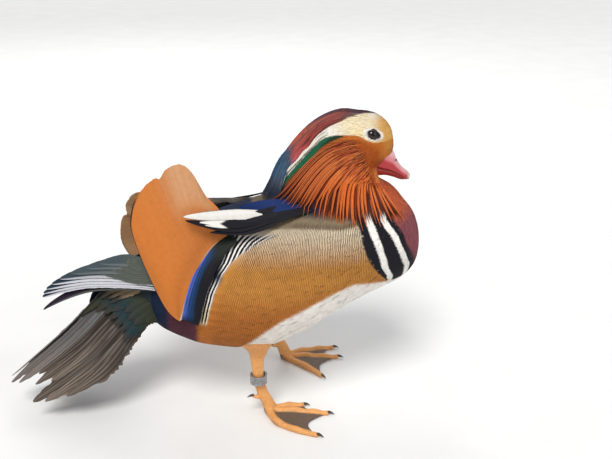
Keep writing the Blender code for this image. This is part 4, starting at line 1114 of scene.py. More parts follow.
def hackle_shade(at, bright, strands):
    """Colours of hackle filaments: orange, redder behind, from dark to bright, with a pale line of painted
    highlight down the middle and painted shade along the edges.
    """
    per = len(at) * strands

    def shade(read, place, fleck):
        rows = len(read) // per
        share, side = place[:, 0], np.abs(place[:, 1])
        where, glow = (np.repeat(values, strands * rows) for values in (at, bright))
        front = 0.12 + 0.88 * rise(where, 0.14, 0.4)
        # How strongly the painted highlight shows along each filament.
        pale = rise(share, 0.05, 0.15) * (0.36 + 0.50 * smooth(1.1 - share * 1.6))
        return layered(
            HACKLE_DARK,
            (HACKLE_RED, smooth(glow * 1.8)),
            (HACKLE_BRIGHT, smooth((glow - 0.4) * 2) * front),
            (CHEEK, smooth(1 - share * 5) * 0.8),
            # Painted shade: each filament is darker towards its edges, as in the shadow between filaments.
            (HACKLE_DARK, side * 0.3),
            # Painted highlight: a pale line down the middle of the brighter filaments.
            (HACKLE_PALE, (1 - side) * pale * rise(glow, 0.3, 0.4)),
            (HACKLE_DARK, rise(fleck, 0.72, 0.28) * 0.6),
        )

    return shade


def hackle_layer(skin, side, draw, count, strands, reach, height, spread, bright, start=0.12, wide=0.5):
    """Locks of a few filaments that part at mid-length and meet again at the tip."""
    rows = 12
    at = (np.arange(count) + draw.uniform(0.2, 0.8, count)) / count
    first = draw.uniform(0.0, start, count)
    last = np.clip(reach + draw.normal(0, 0.03, count), 0.3, 1.04)
    steps = np.linspace(0, 1, rows)
    share = first[:, None] + (last - first)[:, None] * steps
    spot, normal = side_places(skin, hackle_lines(at[:, None], share), side)
    lift = -0.5 + height * smooth(steps * 2.0) + draw.uniform(-0.3, 0.5, count)[:, None] * steps
    path = spot + normal * lift[..., None]
    across = unit(np.cross(np.gradient(path, axis=1), normal))
    path += across * (draw.normal(0, 0.35, count)[:, None] * np.sin(math.pi * steps * 0.9))[..., None]
    aside = np.linspace(-1, 1, strands) if strands > 1 else np.zeros(1)
    offset = aside * spread * (1 + draw.normal(0, 0.15, (count, strands)))
    swell = (0.25 + 0.75 * smooth(steps * 1.5)) * (1 - 0.85 * rise(steps, 0.7, 0.3))
    paths = path[:, None] + across[:, None] * (offset[:, :, None] * swell)[..., None]
    paths += normal[:, None] * (0.35 * (1 - np.abs(aside)))[None, :, None, None]
    normals = np.repeat(normal[:, None], strands, 1).reshape(-1, rows, 3)
    widths = tapered(draw.uniform(0.8, 1.1, count * strands) * wide, 0.6, 0.10, rows)
    colour = hackle_shade(at, bright, strands)
    return feather_part(paths.reshape(-1, rows, 3), normals, widths, widths * 0.6, draw, colour, droop=0.2)


def make_hackles(skin, draw, material):
    """Long hackles that fan from the cheek over the neck: dark filaments, red locks and bright ones; the
    dark filaments are partly painted shade in the gaps between the locks.
    """
    for side, word in SIDES:
        mixed = np.where(draw.random(90) < 0.45, 0.35, 0.95)
        fine = np.where(draw.random(80) < 0.4, 0.45, 1.0)
        parts = [
            # A dark under-layer of filaments, partly painted shade that shows in the gaps between the
            # brighter locks.
            hackle_layer(skin, side, draw, 300, 1, 0.93, 0.8, 0, draw.uniform(0, 0.10, 300)),
            hackle_layer(skin, side, draw, 90, 1, 0.80, 1.3, 0, draw.uniform(0.1, 0.4, 90)),
            hackle_layer(skin, side, draw, 25, 3, 0.95, 2.1, 0.45, draw.uniform(0.3, 0.6, 25), wide=0.33),
            hackle_layer(skin, side, draw, 27, 3, 1.02, 3.3, 0.50, draw.uniform(0.85, 1.0, 27), wide=0.34),
            hackle_layer(skin, side, draw, 90, 1, 0.55, 2.6, 0, mixed, 0.25, 0.28),
            hackle_layer(skin, side, draw, 80, 1, 0.38, 2.6, 0, fine, 0.2, 0.24),
        ]
        coat_piece("hackles_" + word, parts, "head_plumage", ("head",), material)


def silk_shade(read, place, fleck):
    """The crest's colours, each strand a little lighter or darker, with painted shade towards its edges."""
    colour = coat_colours(read) * (0.45 + 0.85 * fleck)[:, None]
    colour = mix(colour, BLUE_BLACK, rise(fleck * 7.3 % 1, 0.72, 0.2) * 0.65)
    red = rise(colour[:, 0] - colour[:, 2], 0.05, 0.1)
    streak = rise(fleck * 11.9 % 1, 0.7, 0.2) * 0.6 * red
    # Painted shade: each strand is darker towards its edges, where it meets its neighbours.
    return layered(colour, (COPPER_BRIGHT, streak), (BLACK, rise(np.abs(place[:, 1]), 0.4, 0.6) * 0.35))


def crest_places(across, at):
    spot = curve(CREST_LINE, at)
    spread = np.interp(at, np.linspace(0, 1, len(CREST_SPREAD)), CREST_SPREAD)
    x = spot[..., 0] + 3 * across**2
    z = spot[..., 1] - 5 * across**2
    return np.stack([x, across * spread, z], -1)


def crest_over_top(skin, draw, count, start, reach, height):
    """Strands that lie back over the crown and hang behind the nape."""
    rows = 10
    steps = np.linspace(0, 1, rows)
    across = draw.uniform(-1, 1, count)
    first = np.clip(start + draw.uniform(-0.06, 0.12, count), 0, 1)
    last = np.clip(first + reach * draw.uniform(0.75, 1.05, count), 0, 1)
    at = first[:, None] + (last - first)[:, None] * steps
    places = crest_places(np.repeat(across[:, None], rows, 1), at)
    spot, normal = skin.onto(places)
    above = np.linalg.norm(places - spot, axis=2) * smooth(steps * 2.2) * 0.9
    lift = np.maximum(above, height * smooth(steps * 2.2)) - 0.5 + draw.uniform(-0.2, 0.4, count)[:, None]
    lift = lift * (1 - 0.55 * across[:, None] ** 4)
    widths = tapered(draw.uniform(0.30, 0.50, count), 0.5, 0.1, rows)
    path = spot + normal * lift[..., None]
    return feather_part(path, normal, widths, widths * 0.5, draw, silk_shade, droop=0.2, jitter=0.3)


def crest_on_side(skin, side, draw, count, edges, shares, turns, height, colour):
    """Strands that run back between two edges of the head's markings, in the side view."""
    rows = 12
    steps = np.linspace(0, 1, rows)
    part = draw.uniform(*shares, count)
    first = draw.uniform(*turns[0], count)
    last = draw.uniform(*turns[1], count)
    angle = first[:, None] + (last - first)[:, None] * steps
    low, high = (np.interp(angle, *line) for line in edges)
    r = low + (high - low) * part[:, None]
    turn = np.radians(angle)
    flat = np.stack([MARK_CENTRE[0] + r * np.cos(turn), MARK_CENTRE[1] + r * np.sin(turn)], -1)
    spot, normal = side_places(skin, flat, side)
    lift = -0.4 + height * smooth(steps * 3) + draw.uniform(-0.2, 0.4, count)[:, None] * steps
    widths = tapered(draw.uniform(0.30, 0.48, count), 0.5, 0.12, rows)
    path = spot + normal * lift[..., None]
    return feather_part(path, normal, widths, widths * 0.5, draw, colour, droop=0.2, jitter=0.3)


def white_strand(_read, _place, fleck):
    return mix(WHITE, CREAM, 0.5 * fleck)


# Outer line of the crest in the side view, as angle and distance like the head's other edges.
CREST_EDGE = ((94, 110, 125, 140, 150, 160, 170, 180, 190), (45, 46, 48, 51, 54, 57, 60, 62.5, 64))


def make_crest(skin, draw, material):
    """Silky crest in three overlapping lengths, with the white brow streaming along its lower edge."""
    lengths = ((0.0, 1.5), (0.22, 2.2), (0.5, 2.8))
    parts = [crest_over_top(skin, draw, 420, start, 0.5, height) for start, height in lengths]
    crest, brow = (CROWN_EDGE, CREST_EDGE), (BROW_EDGE, CROWN_EDGE)
    strands = (
        (200, crest, (0.04, 0.85), ((92, 130), (130, 165)), 1.5, silk_shade),
        (240, crest, (0.04, 0.85), ((130, 162), (168, 190)), 2.4, silk_shade),
        (22, brow, (0.25, 0.8), ((115, 150), (166, 184)), 2.6, white_strand),
    )
    for side, _ in SIDES:
        parts += [crest_on_side(skin, side, draw, *rows) for rows in strands]
    coat_piece("crest", parts, "head_plumage", ("head",), material)


def plate(grid, normals, thickness):
    """A thin closed plate over a grid of points, thickest where the given thickness is."""
    rows, columns = grid.shape[:2]
    half = thickness[..., None] / 2
    points = np.concatenate([(grid + normals * half).reshape(-1, 3), (grid - normals * half).reshape(-1, 3)])
    index = np.arange(rows * columns).reshape(rows, columns)
    a, b = index[:-1, :-1].ravel(), index[:-1, 1:].ravel()
    d, e = index[1:, :-1].ravel(), index[1:, 1:].ravel()
    low = rows * columns
    corners = ((a, b, e), (a, e, d), (a + low, e + low, b + low), (a + low, d + low, e + low))
    faces = [np.stack(corner, 1) for corner in corners]
    rim = np.concatenate([index[0], index[1:, -1], index[-1, -2::-1], index[-2:0:-1, 0]])
    after = np.roll(rim, -1)
    faces.append(np.stack([rim, rim + low, after + low], 1))
    faces.append(np.stack([rim, after + low, after], 1))
    triangles = np.concatenate(faces)
    return points, facing_out(points, triangles)


def grid_normals(grid):
    down = np.gradient(grid, axis=0)
    over = np.gradient(grid, axis=1)
    return unit(np.cross(down, over))


def plate_part(grid, normals, thickness, place, share):
    """A plate whose points on both faces keep their vane place, and their share along and across."""
    points, triangles = plate(grid, normals, thickness)
    vane_place, shares = (np.tile(one.reshape(-1, one.shape[-1]), (2, 1)) for one in (place, share))
    return {"points": points, "triangles": triangles, "vane": vane_place, "share": shares}


def vane(path, widest, out, draw, columns=15, peak=0.5, tip=0.14, ragged=0.2):
    """One large feather along a path: shaft line and two webs with a slightly ragged edge."""
    steps = len(path)
    at = np.linspace(0, 1, steps)
    run = unit(np.gradient(path, axis=0))
    out = unit(out - run * (out * run).sum(-1, keepdims=True))
    across = np.cross(run, out)
    width = tapered(np.array([widest]), peak, tip, steps)[0]
    width[-1] *= 0.6
    u = np.linspace(-1, 1, columns)
    rough = np.repeat(draw.normal(0, 1, (steps, 2)), (columns // 2 + 1, columns // 2), axis=1)
    nick = np.clip(1 + ragged * 0.25 * rough * np.abs(u) ** 3, 0.7, 1.15)
    reach = u[None] * width[:, None] * nick
    sweep = np.abs(u)[None] ** 1.6 * width[:, None] * 0.35
    grid = path[:, None] + across[:, None] * reach[..., None] + run[:, None] * sweep[..., None]
    grid = grid - out[:, None] * (VANE_CAMBER * np.abs(reach) ** 1.3)[..., None]
    shaft = np.exp(-((u * widest / SHAFT_WIDTH) ** 2))
    thickness = WEB_THICKNESS + SHAFT_THICKNESS * shaft * (1 - 0.6 * at[:, None])
    along, level = np.meshgrid(at, u, indexing="ij")
    length = np.linalg.norm(np.diff(path, axis=0), axis=1).sum()
    place = np.stack([reach, along * length, along], -1)
    normals = np.broadcast_to(out[:, None], grid.shape)
    return plate_part(grid, normals, thickness, place, np.stack([along, level], -1))


def lean_out(side, lean):
    """Outward directions that lean from straight up to one side, by angles in degrees."""
    angle = np.radians(lean)
    return np.stack([0 * angle, side * np.sin(angle), np.cos(angle)], -1)


def sail_colours(part, margin):
    """Orange web with a streaked top and black lower rim; blue outer web; cream shaft."""
    at, across = part["share"].T
    barb = 0.6 * np.sin(at * 190 + 2 * np.sin(at * 47)) + 0.2 * np.sin(at * 61 + across * 4)
    streak = smooth(0.5 + barb)
    pale = rise(at, 0.05, 0.1) * fall(at, 0.55, 0.2) * rise(across, 0.42, 0.3)
    outer = layered(
        GREEN_BLACK,
        (VIOLET_BLUE, rise(at, 0.30, 0.16)),
        (BLUE_BLACK, smooth(np.sin(across * 26 + at * 3) * 1.4 - 0.5) * 0.6),
    )
    return layered(
        SAIL_ORANGE,
        (SAIL_DEEP, rise(at, 0.45, 0.35)),
        (HACKLE_RED, 0.12 * streak * fall(at, 0.75, 0.3)),
        (SAIL_PALE, pale * (0.45 + 0.2 * streak)),
        (SAIL_RUST, rise(across, 0.05, 0.1) * fall(across, 0.3, 0.2) * 0.35),
        (BLACK, fall(margin, 1.5, 0.5) * rise(at, 0.62, 0.08)),
        (outer, smooth(-across * 30)),
        (CREAM, smooth((1.0 - np.abs(part["vane"][:, 0]) * 10) / 0.6) * rise(at, 0.1, 0.1)),
    )


def sail_grid(side, draw, steps, inner, outer):
    """The places of a sail: outer web, shaft and broad inner web, with the length of each barb."""
    at = np.linspace(0, 1, steps)
    shaft = sided(SAIL_SHAFT, at, side)
    reach = sided(SAIL_RIM, at, side) - shaft
    length = np.linalg.norm(reach, axis=1)
    web = -unit(reach) * (SAIL_OUTER_WEB * np.sin(math.pi * (0.14 + 0.8 * at)))[:, None]
    nick = 0.002 * draw.normal(0, 1, steps) * fall(at, 0.75, 0.1)
    belly = np.array([0.0, side, 0.0]) * (length * 0.10)[:, None]
    lines = [shaft - web * part for part in outer]
    for part in inner:
        along = reach * (part * (1 + nick * part**6))[:, None]
        lines.append(shaft + along + belly * math.sin(math.pi * part))
    grid = np.stack(lines, 1)
    if side == LEFT:
        root = sided(SAIL_SHAFT, 0.0, side) + LEFT_SAIL_SHIFT
        cos, sin = math.cos(-LEFT_SAIL_TURN), math.sin(-LEFT_SAIL_TURN)
        turn = np.array([[cos, 0, sin], [0, 1, 0], [-sin, 0, cos]])
        grid = (grid + LEFT_SAIL_SHIFT - root) @ turn.T + root
    return grid, length


def make_sails(draw, material):
    steps = 150
    outer = -np.linspace(1, 1 / 9, 9)
    inner = 1 - (1 - np.linspace(0, 1, 46)) ** 1.5
    at, across = np.meshgrid(np.linspace(0, 1, steps), np.concatenate([outer, inner]), indexing="ij")
    thickness = 0.5 + 1.1 * bell(across, 0, 0.03) * (1 - 0.6 * at)
    for side, word in SIDES:
        grid, length = sail_grid(side, draw, steps, inner, outer)
        span = across * length[:, None]
        place = np.stack([span * 0.1, at * 90, at], -1)
        part = plate_part(grid, grid_normals(grid), thickness, place, np.stack([at, across], -1))
        margin = np.tile(((1 - across) * length[:, None]).ravel(), 2)
        part["colours"] = sail_colours(part, margin)
        # Painted light: the far sail is paler, as if lit through from behind, more on one face than on the
        # other.
        if side == LEFT:
            lit_through = np.repeat(FAR_SAIL_FADING, span.size)
            part["colours"] = mix(part["colours"], FAR_SAIL_LIT_THROUGH, lit_through)
        coat_piece("sail_vane_" + word, [part], "sail_feathers", ("sail_" + word,), material)


# Scapulars of the right side: middle line from root to tip, half width, colour and tip colour.
SCAPULARS = (
    (((5, 33, 155), (-16, 36, 152.5), (-40, 42.5, 146), (-66, 47, 147)), 3.8, BLACK, BLACK),
    (((3, 31, 156), (-25, 37, 152), (-52, 44, 149), (-82, 49.5, 157)), 4.3, BLACK, BLACK),
    (((-20, 36, 151), (-42, 41, 150.5), (-60, 45, 152), (-74, 48, 154.5)), 3.4, BLACK, WHITE),
    (((5, 20, 157.5), (-12, 22, 157), (-30, 20, 155.5), (-44, 13, 152.5)), 4.6, ROYAL_BLUE, ROYAL_BLUE),
    (((3, 26, 156), (-16, 29, 154.5), (-36, 29, 153)), 4.0, ROYAL_BLUE, BLACK),
    (((-16, 27, 151), (-36, 31, 153), (-60, 39, 155.8), (-83, 47.5, 159)), 5.0, WHITE, WHITE),
)


def make_scapulars(draw, material):
    parts = []
    at = np.linspace(0, 1, 44)
    for side, _ in SIDES:
        lean = lean_out(side, 26 + 34 * at)
        for rows, widest, colour, end in SCAPULARS:
            path = sided(rows, at, side)
            if side == LEFT:
                path = path + (LEFT_SCAPULAR_FALL * at[:, None] + LEFT_SCAPULAR_DROP)
            part = vane(path, widest, lean, draw, peak=0.45, tip=0.07, ragged=0.08)
            along, across = part["share"][:, 0], np.abs(part["share"][:, 1])
            rim = rise(across, 0.84, 0.1) * (0.92 if WHITE in (colour, end) else 0.6)
            part["colours"] = layered(colour, (end, rise(along + across * 0.12, 0.64, 0.03)), (BLACK, rim))
            parts.append(part)
    coat_piece("scapulars", parts, "body_plumage", ("torso",), material)


def make_flank_edge(skin, draw, material):
    """The overlapping feathers at the rear edge of each flank, with black and white bars."""
    parts = []
    count = 15
    share = np.linspace(0, 1, 30)
    reach = 24 * (1 - share)
    for side, _ in SIDES:
        for number in range(count):
            at = (number + 0.5) / count
            tip = curve(FLANK_EDGE, at)
            line = np.stack([tip[0] + reach * 0.95, tip[2] + reach * (0.32 - 0.5 * at)], -1)
            spot, normal = side_places(skin, line[None], side)
            lift = -0.6 + 1.5 * smooth(share * 1.5) + 0.12 * (number % 2)
            path = spot[0] + normal[0] * lift[:, None]
            part = vane(path, 5.0, normal[0], draw, columns=17, peak=0.6, tip=0.55, ragged=0.03)
            part["colours"] = coat_colours(part["points"])
            part.update(markings(part["points"]))
            parts.append(part)
    coat_piece("flank_edge", parts, "body_plumage", ("torso",), material)


def make_wing_core(side, word, material):
    """The folded wing under the long vanes, closed and thin."""
    rings = []
    for share in np.linspace(0, 1, 30):
        middle = sided(WING_LINE, share, side) * np.array([1, WING_INSET, 1])
        ahead = sided(WING_LINE, max(share - 0.05, 0), side)
        run = unit(sided(WING_LINE, min(share + 0.05, 1), side) - ahead)
        across = unit(np.cross(run, UP))
        half = curve(np.array(WING_HALF_HEIGHTS)[:, None], share)[0]
        rings.append(ring_round(middle, across, unit(np.cross(across, run)), 3.0, half * 0.72, 40))
    look = (material, "wing_feathers", "wing_" + word)
    solid_piece("wing_core_" + word, *loft(rings), WING_DARK, *look)


def make_secondaries(side, word, draw, material):
    parts = []
    at = np.linspace(0.04, 0.98, 40)
    shaft, rim = sided(SAIL_SHAFT, at, side), sided(FLANK_EDGE, at, side)
    shares = np.linspace(0.16, 0.92, len(SECONDARY_TONES))
    for number, (share, tone) in enumerate(zip(shares, SECONDARY_TONES)):
        path = shaft + (rim - shaft) * share + np.array([-0.5, side * (0.7 + 0.40 * number), 0])
        part = vane(path, 3.0, lean_out(side, 75.0), draw, tip=0.2, ragged=0.1)
        along, across = part["share"].T
        streak = smooth(np.sin(across * 9 + along * 4 + number * 2) * 1.3 - 0.2)
        dark = np.maximum(streak * 0.7, rise(along, 0.9, 0.1))
        # The darkest tones, next to the flank, are partly painted shadow.
        part["colours"] = layered(SLATE_BLACK, (tone, rise(along, 0.15, 0.25)), (BLACK, dark))
        parts.append(part)
    coat_piece("secondaries_" + word, parts, "wing_feathers", ("wing_" + word,), material)


def primary_vane(number, share, side, at, draw):
    """One vane of the wing tip: the lowest is dark and apart, the next ones have white edges."""
    out = lean_out(side, PRIMARY_LEAN)
    rows = [curve(line, share**1.25) for line in (PRIMARY_ROOTS, PRIMARY_BENDS, PRIMARY_TIPS)]
    path = sided(rows, at, side) + out * (PRIMARY_STACKING * number)
    path[:, 2] += (2.5 * np.sin(math.pi * at) - 2.0 * at**3) * (1 - share)
    lowest = number == 0 and side == RIGHT
    if lowest:
        path[:, 2] -= 8.5 * at
    if side == LEFT:
        path = path + LEFT_PRIMARY_SHIFT * at[:, None]
    widest = 3.6 if number == 0 else 5.4 - 0.8 * share
    part = vane(path, widest, out, draw, peak=0.45, tip=0.12, ragged=0.06)
    along, across = part["share"][:, 0], part["share"][:, 1] * side
    part["colours"] = layered(
        GREY_GREEN,
        (SLATE, rise(along, 0.3, 0.4) * 0.8),
        (BLUE_BLACK, fall(across, 0.62, 0.2) * fall(share, 0.70, 0.15) * 0.8),
        (GREY_EDGE, rise(across, 0.58, 0.14) * (0.12 + 0.88 * fall(share, 0.70, 0.12))),
    )
    if lowest:
        part["colours"] = mix(VIOLET_BLACK, DARK_EDGE, rise(across, 0.5, 0.3))
    return part


def primary_covert(number, share, side, at, draw):
    """One of the shorter vanes that cover the roots of the primaries, by turns longer and shorter."""
    out = lean_out(side, PRIMARY_LEAN)
    root, bend = (curve(line, share) for line in (PRIMARY_ROOTS, PRIMARY_BENDS))
    reach = -0.42 + at * (1.10 + 0.18 * (number % 2) + 0.10 * draw.random())
    path = (root + (bend - root) * reach[:, None]) * np.array([1.0, side, 1.0])
    path = path + out * (0.9 + PRIMARY_STACKING * PRIMARIES * share)
    if side == LEFT:
        path = path + LEFT_PRIMARY_SHIFT * (0.6 + 0.3 * at[:, None])
    part = vane(path, 4.4, out, draw, peak=0.6, tip=0.25, ragged=0.15)
    along, across = part["share"][:, 0], np.abs(part["share"][:, 1])
    rim = np.maximum(rise(across, 0.82, 0.1), rise(along, 0.94, 0.04))
    part["colours"] = mix(GREY_GREEN, COVERT_EDGE, rim * 0.6)
    return part


def make_primaries(side, word, draw, material):
    """Vanes stacked like a hand of cards, the longest lowest and innermost, under a tier of coverts."""
    at = np.linspace(0, 1, 46)
    shares = [number / (PRIMARIES - 1) for number in range(PRIMARIES)]
    parts = [primary_vane(number, share, side, at, draw) for number, share in enumerate(shares)]
    for number, share in enumerate(shares):
        parts.append(primary_covert(number, 0.46 + 0.54 * share, side, at, draw))
    coat_piece("primaries_" + word, parts, "wing_feathers", ("wing_" + word,), material)


def tail_colours(part, number):
    """Mottled brown and slate along the vane, paler on its tip, its edges and its shaft."""
    along, across = part["share"].T
    streak = smooth(0.5 + 0.9 * np.sin(across * 15 + along * 4 + number * 1.7))
    patch = smooth(0.5 + 1.1 * np.sin(along * 13 + number * 2.3 + across * 2))
    shade = layered(
        TAIL_BROWN,
        (TAIL_GREY, streak * (0.2 + 0.7 * patch)),
        (TAIL_SLATE, np.full(len(along), 0.5 if number < 2 else 0.0)),
        (TAIL_TIP, rise(along, 0.5, 0.5) * (0.10 + 0.55 * streak)),
        (TAIL_TIP, rise(np.abs(across), 0.8, 0.15) * 0.25),
    )
    shaft = fall(np.abs(part["vane"][:, 0]), 0.6, 0.3) * 0.4
    return mix(shade * TAIL_SHADES[number], TAIL_TIP, shaft)


def tail_covert(number, side, at, draw):
    """One dark glossy covert over the root of the tail, on the first or second tier, uneven in length."""
    tier = number // COVERTS_A_TIER
    share = (number % COVERTS_A_TIER + 0.5 * tier) / 6.6
    reach = 0.58 - 0.20 * share - 0.14 * tier - 0.10 * draw.random()
    path, out = roof_path(share, at * reach, side)
    path = path + out * (1.8 + 1.0 * tier - 1.6 * share)
    part = vane(path, 5.6, out, draw, tip=0.08, ragged=0.7)
    along, across = part["share"][:, 0], np.abs(part["share"][:, 1])
    part["colours"] = layered(
        COVERT_GREEN,
        (COVERT_TEAL, bell(along * reach, 0.30, 0.09)),
        (TAIL_BROWN, rise(along, 0.7, 0.3) * 0.7),
        (BLACK, rise(across, 0.5, 0.5) * 0.25),
    )
    return part


def buff_feather(number, side, at, draw):
    """One slim feather of the buff patch on top of the root of the tail."""
    path, out = roof_path(0.06 + 0.10 * number, 0.06 + at * (0.34 - 0.05 * number), side)
    part = vane(path + out * (4.2 - 0.3 * number), 2.4, out, draw, tip=0.1, ragged=0.5)
    part["colours"] = mix(TAIL_BUFF, TAIL_BROWN, rise(part["share"][:, 0], 0.5, 0.5))
    return part


def roof_path(share, at, side):
    """A line down the arched fan of the tail, and its outward directions."""
    centre = sided(TAIL_CENTRE, at, side)
    rim = sided(TAIL_EDGE, at, side)
    behind = sided(TAIL_CENTRE, np.clip(at + 0.05, 0, 1), side)
    run = behind - sided(TAIL_CENTRE, np.clip(at - 0.05, 0, 1), side)
    slope = unit(rim - centre)
    out = unit(np.cross(slope, run)) * side
    out = np.where(out[..., 2:] < 0, -out, out)
    lean = unit(out + slope * (0.9 * share - 0.35))
    return centre + (rim - centre) * share + out * (TAIL_ARCH * math.sin(math.pi * share)), lean


def tail_core_ring(x, y, z, wide, tall):
    return ring_round((x, y, z), ACROSS, UP, wide - 1, tall - 1, 40)


def make_tail(draw, material):
    """Two fans of long vanes under glossy coverts and a buff patch, on a slim core."""
    parts = []
    at = np.linspace(0, 1, 46)
    for side, _ in SIDES:
        for number, most in enumerate(TAIL_REACHES):
            path, out = roof_path(number / (len(TAIL_REACHES) - 1), at * most, side)
            path = path - out * (0.8 * number - (1.2 if side == LEFT and number == 0 else 0))
            part = vane(path, 7.0, out, draw, columns=21, peak=0.66, tip=0.12, ragged=0.4)
            part["colours"] = tail_colours(part, number)
            parts.append(part)
        parts += [tail_covert(number, side, at, draw) for number in range(2 * COVERTS_A_TIER)]
        parts += [buff_feather(number, side, at, draw) for number in range(3)]
    coat_piece("tail_vanes", parts, "tail_feathers", ("tail",), material)
    core = lofted(TAIL_CORE, 24, tail_core_ring)
    solid_piece("tail_core", *core, CORE_DARK, material, "tail_feathers", "tail")


def bill_colours(points):
    """Pink above, red along the cutting edge, a painted highlight along the ridge, with a horn nail at the
    tip.
    """
    x, z = points[:, 0], points[:, 2]
    low, high = (np.interp(x, *zip(*line)) for line in (TOMIUM, CULMEN))
    height = (z - low) / np.maximum(high - low, 1.5)
    return layered(
        BILL_PINK,
        # Painted highlight: paler towards the ridge of the bill.
        (BILL_RIDGE_HIGHLIGHT, rise(height, 0.55, 0.45)),
        (BILL_RED, fall(height, 0.50, 0.20)),
        (BILL_NAIL, edge(x - 78.0, 1.2)),
    )


def bill_half(low_line, high_line, widths, power):
    """Half-round sections between a cutting edge and a ridge line in the side view."""
    rings = []
    angle = np.linspace(0, math.pi, 49)
    for share in np.linspace(0, 1, 60):
        low = curve(low_line, share)
        high = curve(high_line, share)
        reach = np.array([high[0] - low[0], 0, high[1] - low[1]])
        ring = np.array([low[0], 0, low[1]]) + np.outer(np.sin(angle) ** power, reach)
        ring[:, 1] -= curve(np.array(widths)[:, None], share)[0] * np.cos(angle)
        rings.append(ring)
    return loft(rings)


def bill_material():
    nodes = Nodes("bill_horn")
    nodes.bump(nodes.noise(900, 4), 0.25, 0.0002)
    return nodes.finish(nodes.mottled(260, 4, 0.90, 1.08), 0.34, coat=0.15, specular=0.5)


def make_bill(material):
    """Both halves of the bill, with nostrils sunk in and a hard nail at the tip."""
    points, triangles = bill_half(TOMIUM, CULMEN, BILL_WIDTHS, 0.9)
    near = np.hypot((points[:, 0] - NOSTRIL[0]) / 1.9, (points[:, 2] - NOSTRIL[1]) / 0.8)
    dent = smooth(1.3 - near) * (np.abs(points[:, 1]) > 1.2)
    points[:, 1] -= np.sign(points[:, 1]) * dent * 1.0
    colours = mix(bill_colours(points), NOSTRIL_DARK, dent)
    solid_piece("upper_bill", pose(points), triangles, colours, material, "bill", "bill_upper")
    low_edge = [(x, z - 0.35) for x, z in TOMIUM]
    points, triangles = bill_half(low_edge, KEEL, LOWER_BILL_WIDTHS, 0.8)
    solid_piece("lower_bill", pose(points), triangles, BILL_UNDER, material, "bill", "bill_lower")


def ball(middle, axes, radii, segments=64, levels=48):
    """A closed ball whose pole points along the last axis."""
    rings = []
    turn = np.linspace(0, 2 * np.pi, segments, endpoint=False)
    for angle in np.linspace(0, math.pi, levels)[1:-1]:
        local = np.stack([np.cos(turn) * math.sin(angle), np.sin(turn) * math.sin(angle)], 1)
        ring = middle + np.outer(local[:, 0] * radii[0], axes[0]) + np.outer(local[:, 1] * radii[1], axes[1])
        rings.append(ring + np.array(axes[2]) * (radii[2] * math.cos(angle)))
    return loft(rings)


def eye_axes(out):
    """Directions ahead, up and out at the eye, with the oval's front corner lowered."""
    ahead = unit(np.array([1.0, 0, 0]) - out * out[0])
    up = np.cross(out, ahead)
    up = up if up[2] > 0 else -up
    cos, sin = math.cos(EYE_TILT), math.sin(EYE_TILT)
    return ahead * cos - up * sin, up * cos + ahead * sin, out


def make_eyes(skin, eye_look, lid_look):
    for side, word in SIDES:
        place, out = (np.array(one) for one in skin.from_side(*EYE, side))
        place = place + out * HEAD_DEPTH
        axes = eye_axes(out)
        middle = place + out * (EYE_PROUD - EYE_RADIUS)
        points, triangles = ball(middle, axes, (EYE_RADIUS,) * 3)
        local = points - middle
        tilt = np.hypot(local @ axes[0], local @ axes[1]) / EYE_RADIUS
        colours = mix(EYE_BROWN, PUPIL, fall(tilt, 0.40, 0.05))
        solid_piece("eyeball_" + word, pose(points), triangles, colours, eye_look, "eye", "eye_" + word)
        make_lid(place, axes, word, lid_look)


def make_lid(place, axes, word, material):
    """A soft dark oval rim round the eye, narrow at both corners."""
    turns, sides = 96, 16
    turn = np.linspace(0, 2 * np.pi, turns, endpoint=False)
    long = LID_HALF_LENGTH * np.cos(turn)
    high = LID_HALF_HEIGHT * np.sin(turn) * (0.80 + 0.20 * np.abs(np.sin(turn)))
    spoke = np.outer(long, axes[0]) + np.outer(high, axes[1])
    roll = np.linspace(0, 2 * np.pi, sides, endpoint=False)
    rim = unit(spoke)[:, None] * np.cos(roll)[None, :, None] + axes[2] * np.sin(roll)[None, :, None]
    points = (place + axes[2] * 0.15 + spoke[:, None] + rim * LID_THICKNESS).reshape(-1, 3)
    index = np.arange(turns * sides).reshape(turns, sides)
    later, beside = np.roll(index, -1, axis=0), np.roll(index, -1, axis=1)
    a, b, c, d = (one.ravel() for one in (index, beside, np.roll(later, -1, axis=1), later))
    triangles = np.concatenate([np.stack([a, b, c], 1), np.stack([a, c, d], 1)])
    solid_piece("eyelid_" + word, pose(points), triangles, LID_DARK, material, "head_plumage", "head")


def eye_material():
    nodes = Nodes("wet_eye")
    return nodes.finish(nodes.mottled(1500, 3, 0.8, 1.2), 0.06)


def leg_form(rows, side):
    def ring(z, x, y, long, wide):
        return ring_round((x, side * y, z), AHEAD, ACROSS, long - 0.15, wide - 0.15, 40)

    return lofted(rows, 90, ring)


def toe_form(bends, lift):
    """A jointed toe with pads below and swollen joints."""
    rings = []
    size = HIND_TOE_SHARE if lift else 1.0
    for share in np.linspace(0, 1, 44):
        spot = curve(bends, share)
        run = unit(curve(bends, min(share + 0.05, 1)) - curve(bends, max(share - 0.05, 0)))
        pad = 1 + 0.10 * math.cos(2 * math.pi * share * (len(bends) - 1))
        radius = size * (TOE_RADIUS + (TOE_TIP_RADIUS - TOE_RADIUS) * share) * pad - 0.1
        if share > 0.94:
            radius *= 1 - 0.5 * ((share - 0.94) / 0.06) ** 2
        middle = (spot[0], spot[1], radius * 0.82 + lift * (1 + 0.25 * share))
        ring = ring_round(middle, (-run[1], run[0], 0), UP, radius, radius, 26)
        ring[:, 2] = np.maximum(ring[:, 2], 0.05)
        rings.append(ring)
    return loft(rings)


